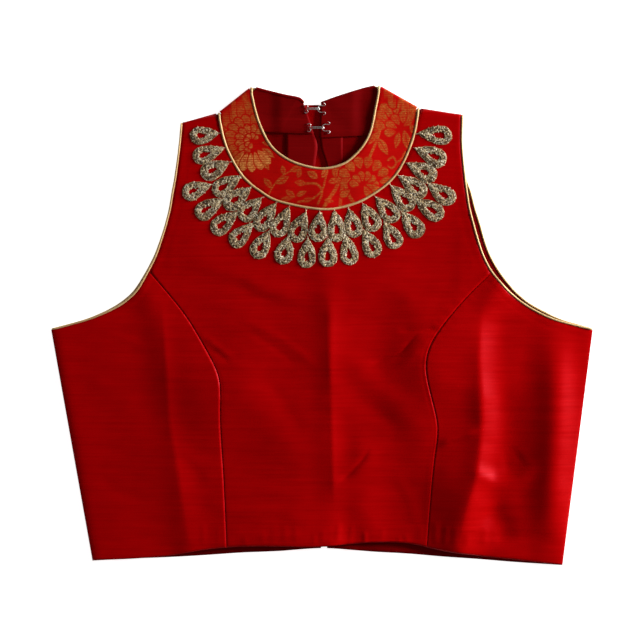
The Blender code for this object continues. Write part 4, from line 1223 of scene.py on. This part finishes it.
def collar_points():
    shares = np.linspace(0.042, 1 - 0.042, COLLAR_STEPS)
    whole = np.linspace(0, 1, 401)
    lows, highs = moved(by_row(SEAM_LINE, whole), NECK_EDGE), moved(by_row(TOP_LINE, whole), -NECK_EDGE)
    front = []
    for share in shares:
        low, high = (np.array([np.interp(share, whole, line[:, k]) for k in range(2)]) for line in (lows, highs))
        flat = band(low, high)
        z = collar_height(flat, share, ACROSS)
        z = z - 0.45 * np.exp(-((ACROSS / 0.035) ** 2)) - 0.45 * np.exp(-(((1 - ACROSS) / 0.035) ** 2))
        z = z + 0.10 * np.sin(60 * share + 2 * np.sin(17 * share)) * np.exp(-((ACROSS / 0.25) ** 2))
        front.append(with_z(flat, z))
    stations = collar_back("left") + collar_bend("left")[::-1] + front
    stations += collar_bend("right") + collar_back("right")[::-1]
    points = np.array(stations).transpose(1, 0, 2)
    first = len(collar_back("left")) + 13
    over = np.zeros(points.shape[:2], bool)
    over[:, first - 6 : first + COLLAR_STEPS + 6] = True
    points[..., 2] += np.where(over, waves(points[..., :2], 31, 6, 22, 60, 0.05), 0)
    return points, over


# The brocade's figures on the front of the collar, in the photograph's pixels. A petal is widest
# near its far end, a leaf in its middle, and a stem is a line. Bright is a painted highlight: how much its gold shines.
Petal = namedtuple("Petal", "x y turn size across bright")
Leaf = namedtuple("Leaf", "x y turn size across bright")
Stem = namedtuple("Stem", "width bright path")


def bloom(x, y, radius, petals, start, span, across, bright, inner=0.22):
    """A ring of petals round a middle, with turns in degrees, anticlockwise from the right."""
    return [
        Petal(
            x + inner * radius * math.cos(math.radians(turn)),
            y - inner * radius * math.sin(math.radians(turn)),
            turn, radius * (1 - inner), across, bright,
        )
        for turn in (start + span * k / petals for k in range(petals))
    ]


BROCADE = [
    # the many-petalled flower at the upper left
    *bloom(250, 140, 38, 8, 76, 142, 12.0, 0.30, 0.52),
    *bloom(250, 140, 26, 9, 60, 190, 8.5, 0.40, 0.42),
    *bloom(251, 140, 16, 8, 50, 230, 6.0, 0.60, 0.34),
    *bloom(252, 141, 8, 6, 40, 260, 4.0, 0.70, 0.25),
    *bloom(250, 142, 30, 5, 236, 96, 9.0, 0.95, 0.36),
    Leaf(243, 106, 80, 15, 6, 0.3), Leaf(250, 100, 60, 13, 6, 0.3), Leaf(236, 112, 104, 14, 6, 0.25),
    Leaf(262, 142, 344, 13, 5, 0.55), Leaf(262, 148, 322, 16, 6, 0.65), Leaf(258, 134, 30, 9, 4, 0.6),
    Leaf(258, 128, 52, 10, 4, 0.55), Leaf(262, 158, 300, 14, 6, 0.5), Leaf(232, 152, 236, 12, 6, 0.35),
    # leaves and a stem at the lower left
    Stem(1.3, 0.35, ((266, 200), (272, 188), (280, 178), (292, 170))),
    Leaf(272, 188, 130, 13, 6, 0.35), Leaf(276, 184, 30, 15, 7, 0.35), Leaf(284, 175, 100, 10, 5, 0.35),
    Leaf(290, 171, 20, 13, 6, 0.3), Leaf(268, 194, 200, 9, 5, 0.3), Leaf(286, 190, -40, 12, 6, 0.3),
    Leaf(298, 178, 75, 10, 5, 0.3), Leaf(280, 200, 10, 14, 5, 0.3), Leaf(296, 196, 25, 12, 5, 0.35),
    # arching stems and sprigs at the bottom
    Stem(1.8, 0.40, ((298, 202), (312, 199), (322, 190), (326, 176))),
    Stem(2.0, 0.45, ((318, 204), (322, 192), (316, 184), (300, 184))),
    Stem(3.4, 0.40, ((324, 207), (331, 196), (337, 186), (341, 172))),
    Stem(3.0, 0.35, ((340, 207), (341, 194), (343, 180))),
    Stem(3.4, 0.35, ((355, 205), (348, 194), (345, 182))),
    Leaf(318, 178, 150, 13, 7, 0.5), Leaf(322, 178, 60, 12, 6, 0.6), Leaf(328, 182, 10, 12, 6, 0.5),
    Leaf(306, 184, 170, 12, 6, 0.35), Leaf(336, 178, 100, 12, 6, 0.4), Leaf(340, 184, 30, 13, 6, 0.4),
    Leaf(312, 198, 200, 11, 5, 0.3), Leaf(324, 200, -10, 10, 4, 0.35), Leaf(334, 172, 40, 9, 5, 0.35),
    # the scalloped flower at the lower right
    *bloom(364, 184, 28, 7, 8, 168, 9.5, 0.30, 0.56),
    *bloom(364, 186, 15, 6, 10, 190, 7.0, 0.35, 0.34),
    Petal(366, 184, 330, 18, 8, 0.35), Petal(364, 186, 300, 13, 7, 0.35), Petal(350, 190, 215, 12, 7, 0.3),
    Leaf(378, 194, 12, 14, 6, 0.3), Leaf(368, 200, 350, 16, 5, 0.35), Leaf(386, 182, 28, 11, 5, 0.3),
    # the lobed flower and the drooping leaves at the upper right
    *bloom(403, 130, 34, 6, 70, 120, 12.0, 0.30, 0.48),
    *bloom(404, 131, 20, 5, 66, 150, 8.0, 0.35, 0.40),
    Leaf(404, 130, 284, 22, 8, 0.3), Leaf(399, 132, 258, 17, 6, 0.3), Leaf(410, 124, 300, 14, 6, 0.25),
    Leaf(404, 126, 40, 12, 6, 0.25), Petal(388, 96, 300, 14, 8, 0.3), Leaf(384, 90, 330, 11, 5, 0.3),
    Stem(2.6, 0.40, ((370, 156), (376, 142), (380, 128), (380, 112))),
    Leaf(378, 138, 300, 20, 8, 0.40), Leaf(378, 132, 232, 16, 6, 0.40), Leaf(381, 116, 78, 12, 5, 0.35),
    # the small curl
    Stem(1.8, 0.35, ((388, 166), (392, 168), (396, 163), (393, 157), (388, 160))),
    Stem(1.4, 0.30, ((396, 163), (402, 158), (405, 152))),
    Leaf(402, 156, 30, 8, 4, 0.3),
]


def brocade_cover(points):
    """How much of the cloth is gold thread at each point, and how brightly it shines, as a painted highlight."""
    x, y = 325.0 + points[..., 0] / PIXEL, 566.0 - points[..., 1] / PIXEL
    cover, light = np.zeros(x.shape), np.zeros(x.shape)
    for row in BROCADE:
        if isinstance(row, Stem):
            line = spline(row.path, 6)
            away = distance_to(np.stack([x, y], axis=-1), line)
            found = np.clip((row.width / 2 - away) / 0.8 + 0.5, 0, 1)
        else:
            turn = math.radians(row.turn)
            u = (x - row.x) * math.cos(turn) - (y - row.y) * math.sin(turn)
            v = (x - row.x) * math.sin(turn) + (y - row.y) * math.cos(turn)
            t = np.clip(u / row.size, 0, 1)
            if isinstance(row, Petal):
                half = row.across / 2 * np.sin(np.pi * t**1.45) ** 0.62
                vein = np.clip((0.35 - np.abs(v)) / 0.5 + 0.4, 0, 1)
                gap = 0.8 * vein * ease((t - 0.05) / 0.1) * ease((0.55 - t) / 0.1)
            else:
                half = row.across / 2 * np.sin(np.pi * t**0.9) ** 1.1
                gap = np.clip((0.55 - np.abs(v)) / 0.7 + 0.3, 0, 1) * ease((t - 0.12) / 0.1) * ease((0.85 - t) / 0.1)
            inside = np.clip((half - np.abs(v)) / 0.9 + 0.5, 0, 1) * ((u > 0) & (u < row.size))
            found = inside * (1 - 0.85 * gap)
            if isinstance(row, Petal):  # a red outline parts it from the petals beneath
                wider = np.clip((u + 1.2) / (row.size + 2.4), 0, 1)
                rim = row.across / 2 * np.sin(np.pi * wider**1.45) ** 0.62 + 1.15
                rim = np.clip((rim - np.abs(v)) / 0.6 + 0.5, 0, 1) * ((u > -1.2) & (u < row.size + 1.2))
                cover = cover * (1 - rim * (1 - inside))
        light = np.where(found > cover, row.bright, light)
        cover = np.maximum(cover, found)
    return cover, light


def make_collar():
    points, over = collar_points()
    obj = cloth("brocade_collar", "collar", points, "brocade")
    # the second map is the painted highlight of the gold figures
    cover, light = brocade_cover(points[..., :2])
    mirrored = points[..., :2] * np.array([-1.0, 1.0]) + np.array([-6.0, -14.0])
    behind, behind_painted_highlight = brocade_cover(mirrored)
    cover, light = np.where(over, cover, behind), np.where(over, light, behind_painted_highlight)
    for name, values in (("zari", cover), ("zari_painted_highlight", light)):
        made = obj.data.attributes.new(name, "FLOAT", "POINT")
        made.data.foreach_set("value", values.reshape(-1).astype(np.float32))


make_collar()


def lining_points(side):
    count = NECK_COLUMNS - 1
    _, seam, top = (points[:count] for points in back_neck(side))
    found = []
    for k, (low, high, station) in enumerate(zip(seam, top, collar_back(side))):
        along = unit(high - low)
        below = np.array([low - d * along for d in (4.2, 3.3, 2.4, 1.5)])
        height = np.concatenate([COLLAR_BACK + placket_lift(below), station[:, 2]])
        rise = np.concatenate([[0.75, 0.95, 1.1, 1.25], np.interp(ACROSS, [0, 0.35, 1], [1.25, 0.1, 0.1])])
        height = height + CLOTH / 2 + GAP + THIN / 2 + rise
        height = height + 0.12 * np.sin(k / 2.3 + np.concatenate([[0, 0, 0, 0], ACROSS * 4]))
        flat = np.vstack([below, station[:, :2]])
        rolled = np.array([high + d * along for d in (-0.6, 0.3, 0.9, 1.25, 1.4)])
        edge = 2 * NECK_CORD + 0.45 + placket_lift(rolled) + np.array([0.15, 0.1, -0.15, -0.75, -1.5])
        found.append(with_z(np.vstack([flat, rolled]), np.concatenate([height, edge])))
    return np.array(found).transpose(1, 0, 2)


for which in OUT:
    cloth(f"facing_{which}", f"back_facing_{which}", facing_points(which), "lining", wall=0.5, offset=1.0)
    cloth(f"lining_{which}", f"collar_lining_{which}", lining_points(which), "lining", wall=0.5)


# --- pipings ----------------------------------------------------------------------------------------


def turn(corner, outward, high, low, radius, count=13):
    outward = unit(outward)
    bend = (high - low) / 2
    axis = np.asarray(corner) - outward * (bend + radius)
    return [
        (*(axis + outward * bend * math.sin(a)), (high + low) / 2 + bend * math.cos(a))
        for a in np.linspace(0, math.pi, count)
    ]


def clear_of(points, corners, distance):
    keep = np.ones(len(points), bool)
    for corner in corners:
        keep &= np.linalg.norm(points[:, :2] - np.asarray(corner), axis=1) > distance
    return [tuple(p) for p in points[keep]]


def smoothed(path, spacing, closed=False):
    """The path in even steps, with its corners a little rounded."""
    path = np.asarray(path, float)
    if closed:
        path = np.vstack([path, path[:1]])
    count = max(8, int(lengths(path)[-1] / spacing))
    path = at(path, np.linspace(0, 1, count + 1))
    if closed:
        path = path[:-1]
        for _ in range(3):
            path = (np.roll(path, 1, axis=0) + 2 * path + np.roll(path, -1, axis=0)) / 4
    else:
        for _ in range(3):
            path[1:-1] = (path[:-2] + 2 * path[1:-1] + path[2:]) / 4
    return path


def piping(name, node, path, radius, closed):
    """A covered cord: a slightly uneven round with the slanted folds of its bias strip."""
    path = smoothed(path, 0.85, closed)
    dice = random.Random(name)
    start = dice.uniform(0, 6.28)
    along = np.arange(len(path)) * 0.85
    size = 0.9 * radius * (1 + 0.035 * np.sin(along / 2.1 + start) + 0.02 * np.sin(along / 7.3) + 0.012 * np.sin(along * 2.4))
    points, faces, caps = tube(path, size, 12, closed)
    heap = Heap()
    heap.take(points, faces, 0.5, caps)
    return heap.piece(name, ["gold_piping"], "gold_piping", node)


class Ground:
    """The front's height, worked out once over the yoke and then read off between its points."""

    LOW, HIGH, STEP = np.array([-135.0, 236.0]), np.array([135.0, 392.0]), 1.0

    def __init__(self):
        xs = np.arange(self.LOW[0], self.HIGH[0] + 1, self.STEP)
        ys = np.arange(self.LOW[1], self.HIGH[1] + 1, self.STEP)
        flat = np.stack(np.meshgrid(xs, ys, indexing="ij"), axis=-1)
        self.z = front_height(flat) + detail(flat)

    def __call__(self, points):
        where = (np.asarray(points, float)[..., :2] - self.LOW) / self.STEP
        where = np.clip(where, 0, np.array(self.z.shape) - 1.001)
        cell = where.astype(int)
        i, j, s, t = cell[..., 0], cell[..., 1], where[..., 0] - cell[..., 0], where[..., 1] - cell[..., 1]
        low = self.z[i, j] * (1 - s) + self.z[i + 1, j] * s
        high = self.z[i, j + 1] * (1 - s) + self.z[i + 1, j + 1] * s
        return low * (1 - t) + high * t


fine_height = Ground()


def armhole_piping(side):
    line = ARM[side, "front"]
    corners = (line[-1], line[0])
    panel = FRONT_SIDES[side][-1]
    centre = FRONT_CENTRE[SEAM_STEPS:, 0 if side == "left" else -1]
    front = np.vstack([panel[:-1], (panel[-1:] + centre[:1]) / 2, centre[1:]])[::-1]
    front = moved(front, ARM_EDGE * OUT[side])
    front = with_z(front, front_height(front) + 0.15)
    back_edge = moved(BACKS[side][BACK_LOW_STEPS:, -1], -ARM_EDGE * OUT[side])
    low = ARM_CORD + 0.05
    path = clear_of(front, corners, 4.3)
    path += turn(corners[1], line[0] - on(line, line[3]), path[-1][2], low, ARM_CORD)
    path += clear_of(with_z(back_edge, low), corners, 4.3)
    path += turn(corners[0], line[-1] - line[-4], path[0][2], low, ARM_CORD)[::-1]
    piping(f"piping_armhole_{side}", f"armhole_piping_{side}", path, ARM_CORD, True)


def collar_piping(name, node, line, backs, corners, outwards, stand):
    low = NECK_CORD + 0.05
    shares = np.array(steps(2 * NECK_STEPS, True))
    front = by_row(line, shares)
    front = with_z(front, collar_height(front, shares, stand))
    left, right = (with_z(points, low + placket_lift(points)) for points in backs)
    path = clear_of(left, corners, 4.4)
    path += turn(corners[0], outwards[0], COLLAR_FOLD, low, NECK_CORD)[::-1]
    path += clear_of(front, corners, 4.4)
    path += turn(corners[1], outwards[1], COLLAR_FOLD, low, NECK_CORD)
    path += clear_of(right[::-1], corners, 4.4)
    piping(name, node, path, NECK_CORD, False)


for which in OUT:
    armhole_piping(which)
folds_out = [collar_fold(side)[2] for side in OUT]
neck_lines = {side: back_neck(side) for side in OUT}
collar_piping("piping_collar_top", "collar_top_piping", TOP_LINE, [neck_lines[s][2][:-2] for s in OUT],
              (PEAK_LEFT, PEAK_RIGHT), folds_out, 1.0)
collar_piping("piping_collar_seam", "collar_seam_piping", SEAM_LINE, [neck_lines[s][1] for s in OUT],
              (NECK_LEFT, NECK_RIGHT), [unit(d - inward(s)) for d, s in zip(folds_out, OUT)], 0.0)


# --- embroidery -------------------------------------------------------------------------------------


def drop_outline(length, width, count):
    """A drop's outline round its middle line, from its point at 0 to its round end at length."""
    turns = np.linspace(0, 2 * math.pi, count, endpoint=False)
    t = 0.5 - 0.5 * np.cos(turns)
    along = t * length
    belly = length - width / 2
    half = np.where(
        along < belly,
        width / 2 * np.sin(np.pi / 2 * np.clip(along / belly, 0, 1)) ** 0.9,
        np.sqrt(np.maximum((width / 2) ** 2 - (along - belly) ** 2, 0)),
    )
    return np.stack([along, half * np.where(turns < math.pi, 1, -1)], axis=1)


def embroider(drops, name, seed):
    """Padded drops covered with short curled lengths of bullion, with an open middle."""
    dice = random.Random(seed)
    heap = Heap()
    for drop in drops:
        tip, end = photo((drop.tip_x, drop.tip_y)), photo((drop.end_x, drop.end_y))
        axis = unit(end - tip)
        across = np.array([-axis[1], axis[0]])
        length = float(np.linalg.norm(end - tip)) + 0.6
        width = dice.uniform(14.6, 16.2)
        lean = dice.uniform(-0.7, 0.7)
        ring = 44
        outer = drop_outline(length, width, ring)
        outer[:, 1] += lean * np.sin(np.pi * outer[:, 0] / length)
        outer[:, 1] += [dice.uniform(-0.3, 0.3) for _ in range(ring)]
        hole_length, hole_width = length * dice.uniform(0.34, 0.42), width * dice.uniform(0.26, 0.36)
        inner = drop_outline(hole_length, hole_width, ring)
        inner[:, 0] += length * 0.40
        inner[:, 1] += np.array([lean + dice.uniform(-0.25, 0.25) for _ in range(ring)])

        def lay(flat):
            return tip + flat[..., :1] * axis + flat[..., 1:] * across

        shares = np.linspace(0, 1, 7)
        flat = outer[None] * (1 - shares)[:, None, None] + inner[None] * shares[:, None, None]
        dome = 0.35 + 0.75 * np.sqrt(np.maximum(1 - (2 * shares - 1) ** 2, 0))
        base = lay(flat)
        ground = fine_height(base) + SILK / 2
        points = with_z(base, ground + dome[:, None] * 0.85)
        points[0, :, 2] = ground[0] - 0.15
        points[-1, :, 2] = ground[-1] - 0.15
        # the pad's dark-brown tone is painted shade, showing dark between the bullion's coils
        heap.take(points.reshape(-1, 3), grid_faces(7, ring, close_columns=True), 0.08)
        edge = lay(outer * 1.0)
        rim = with_z(edge, fine_height(edge) + SILK / 2 + 0.30)
        heap.take_tube(rim, 0.24, 4, True, dice.uniform(0.30, 0.5))
        bits = 330
        for k in range(bits):
            index = int(dice.random() * ring)
            share = 0.02 + 0.96 * (k % 47) / 46 + dice.uniform(-0.03, 0.03)
            spot = outer[index] * (1 - share) + inner[index] * share
            angle = dice.uniform(0, 2 * math.pi)
            size, height = dice.uniform(0.9, 1.8), dice.uniform(0.2, 0.7)
            bend = dice.uniform(-1.6, 1.6)
            steps_along = np.linspace(-0.5, 0.5, 4)
            lie = np.stack([steps_along * size, bend * (steps_along**2) * size], axis=1)
            turned = np.stack([
                lie[:, 0] * math.cos(angle) - lie[:, 1] * math.sin(angle),
                lie[:, 0] * math.sin(angle) + lie[:, 1] * math.cos(angle),
            ], axis=1)
            base = lay(spot + turned)
            z = fine_height(base[2]) + SILK / 2 + 0.30 + 0.6 * math.sqrt(max(1 - (2 * share - 1) ** 2, 0))
            z = z + height * (1 - (2 * steps_along) ** 2) - 0.12
            tone = min(max(dice.gauss(0.56, 0.30), 0.0), 1.0)
            heap.take_tube(with_z(base, z), dice.uniform(0.17, 0.28), 4, False, tone)
        for _ in range(dice.choice((1, 2, 2, 3))):
            reach = dice.uniform(1.0, 3.2)
            angle = dice.uniform(-0.7, 0.7)
            ends = np.array([[0.4, 0.0], [-reach * 0.5, reach * 0.3 * angle], [-reach, reach * angle]])
            base = lay(ends)
            heap.take_tube(with_z(base, fine_height(base) + SILK / 2 + np.array([0.5, 0.6, 0.15])), 0.14, 4, False, 0.75)
    return heap.piece(name, ["bullion"], "gold_piping")


embroider(INNER_DROPS[:10], "embroidery_inner_left", 3)
embroider(INNER_DROPS[10:], "embroidery_inner_right", 5)
embroider(OUTER_DROPS, "embroidery_outer", 4)


# --- hooks and eyes ---------------------------------------------------------------------------------


def arc(centre, radius, start, end, count, z):
    return [
        (centre[0] + radius * math.cos(a), centre[1] + radius * math.sin(a), z)
        for a in np.radians(np.linspace(start, end, count))
    ]


def round_path(path, spacing=0.25):
    path = at(np.asarray(path, float), np.linspace(0, 1, max(12, int(lengths(np.asarray(path, float))[-1] / spacing))))
    for _ in range(4):
        path[1:-1] = (path[:-2] + 2 * path[1:-1] + path[2:]) / 4
    return path


def whipping(heap, centre, radius, z, seed):
    """Thread that sews a ring down: a few short loops over the wire."""
    dice = random.Random(seed)
    for _ in range(5):
        a = dice.uniform(0, 2 * math.pi)
        middle = np.array([centre[0] + radius * math.cos(a), centre[1] + radius * math.sin(a), z])
        out = np.array([math.cos(a), math.sin(a), 0.0])
        loop = [middle + out * 0.75 * math.cos(t) + np.array([0, 0, 0.62 * math.sin(t) - 0.1]) for t in np.linspace(-0.4, math.pi + 0.4, 8)]
        heap.take_tube(loop, 0.13, 5)


def hook(number):
    place = FASTENINGS[number]
    x, y, z = place.hook_x, place.y, place.height
    reach = place.eye_x - place.hook_x - 0.6
    ring, half = 1.5, 0.55
    path = arc((x, y + half + ring), ring, 150, -90, 12, z)
    path += [(x + 2.2, y + half, z + 0.5), (x + 3.2, y + half, z + 1.1), (x + reach, y + half, z + 1.1)]
    path += [(x + reach + 1.6, y + 0.42, z + 0.25), (x + reach + 1.6, y - 0.42, z + 0.25)]
    path += [(x + reach, y - half, z + 1.1), (x + 3.2, y - half, z + 1.1), (x + 2.2, y - half, z + 0.5)]
    path += arc((x, y - half - ring), ring, 90, -150, 12, z)
    heap = Heap()
    heap.take_tube(round_path(path), WIRE, 8)
    heap.piece(f"wire_hook_{number}", ["wire"], "wire", f"hook_{number}")
    sewing = Heap()
    for side in (1, -1):
        whipping(sewing, (x, y + side * (half + ring)), ring, z, 10 * number + side)
    return sewing


def eye(number, sewing):
    place = FASTENINGS[number]
    x, y, z = place.eye_x, place.y, place.height
    loop, ring = 2.9, 1.2
    path = arc((x + 4.6, y + loop + 0.9), ring, 120, -90, 10, z)
    path += arc((x + loop - 0.9, y), loop, 80, 280, 18, z)
    path += arc((x + 4.6, y - loop - 0.9), ring, 90, -120, 10, z)
    heap = Heap()
    heap.take_tube(round_path(path), WIRE, 8)
    heap.piece(f"wire_eye_{number}", ["wire"], "wire", f"eye_{number}")
    for side in (1, -1):
        whipping(sewing, (x + 4.6, y + side * (loop + 0.9)), ring, z, 50 + 10 * number + side)
    sewing.piece(f"sewing_{number}", ["red_thread"], "red_silk")


for pair in FASTENINGS:
    eye(pair, hook(pair))


# --- camera, floor and light ------------------------------------------------------------------------


def stage():
    floor_mesh = bpy.data.meshes.new("floor")
    floor_mesh.from_pydata([(-4, -4, -0.0002), (4, -4, -0.0002), (4, 4, -0.0002), (-4, 4, -0.0002)], [], [(0, 1, 2, 3)])
    floor_mesh.materials.append(paper())
    floor = bpy.data.objects.new("floor", floor_mesh)
    bpy.context.scene.collection.objects.link(floor)


def lamp(name, where, target, size, power, colour=(1, 1, 1)):
    data = bpy.data.lights.new(name, "AREA")
    data.shape = "RECTANGLE"
    data.size, data.size_y = size
    data.energy = power
    data.color = colour
    obj = bpy.data.objects.new(name, data)
    obj.location = where
    obj.rotation_euler = (Vector(target) - Vector(where)).to_track_quat("-Z", "Y").to_euler()
    bpy.context.scene.collection.objects.link(obj)


def studio():
    lamp("window", (2.05, 0.68, 0.68), (0.0, 0.0, 0.0), (0.75, 1.10), 112.0)
    lamp("overhead", (-0.1, -0.1, 2.2), (0, 0, 0), (2.0, 2.0), 5.0)
    world_look = bpy.data.worlds.new("studio")
    world_look.use_nodes = True
    background = world_look.node_tree.nodes["Background"]
    background.inputs["Color"].default_value = (1, 1, 1, 1)
    background.inputs["Strength"].default_value = 0.085
    bpy.context.scene.world = world_look
    bpy.context.scene.view_settings.view_transform = "Standard"


def camera():
    data = bpy.data.cameras.new("camera")
    data.lens, data.sensor_width = 180.0, 36.0
    obj = bpy.data.objects.new("camera", data)
    middle = world(np.append(photo((320.0, 316.0)), 0.0))
    distance = 640 * PIXEL * MM * data.lens / data.sensor_width
    obj.location = (middle[0], middle[1], distance + 0.006)
    data.clip_start, data.clip_end = 0.05, 20.0
    bpy.context.scene.collection.objects.link(obj)
    bpy.context.scene.camera = obj


stage()
studio()
camera()
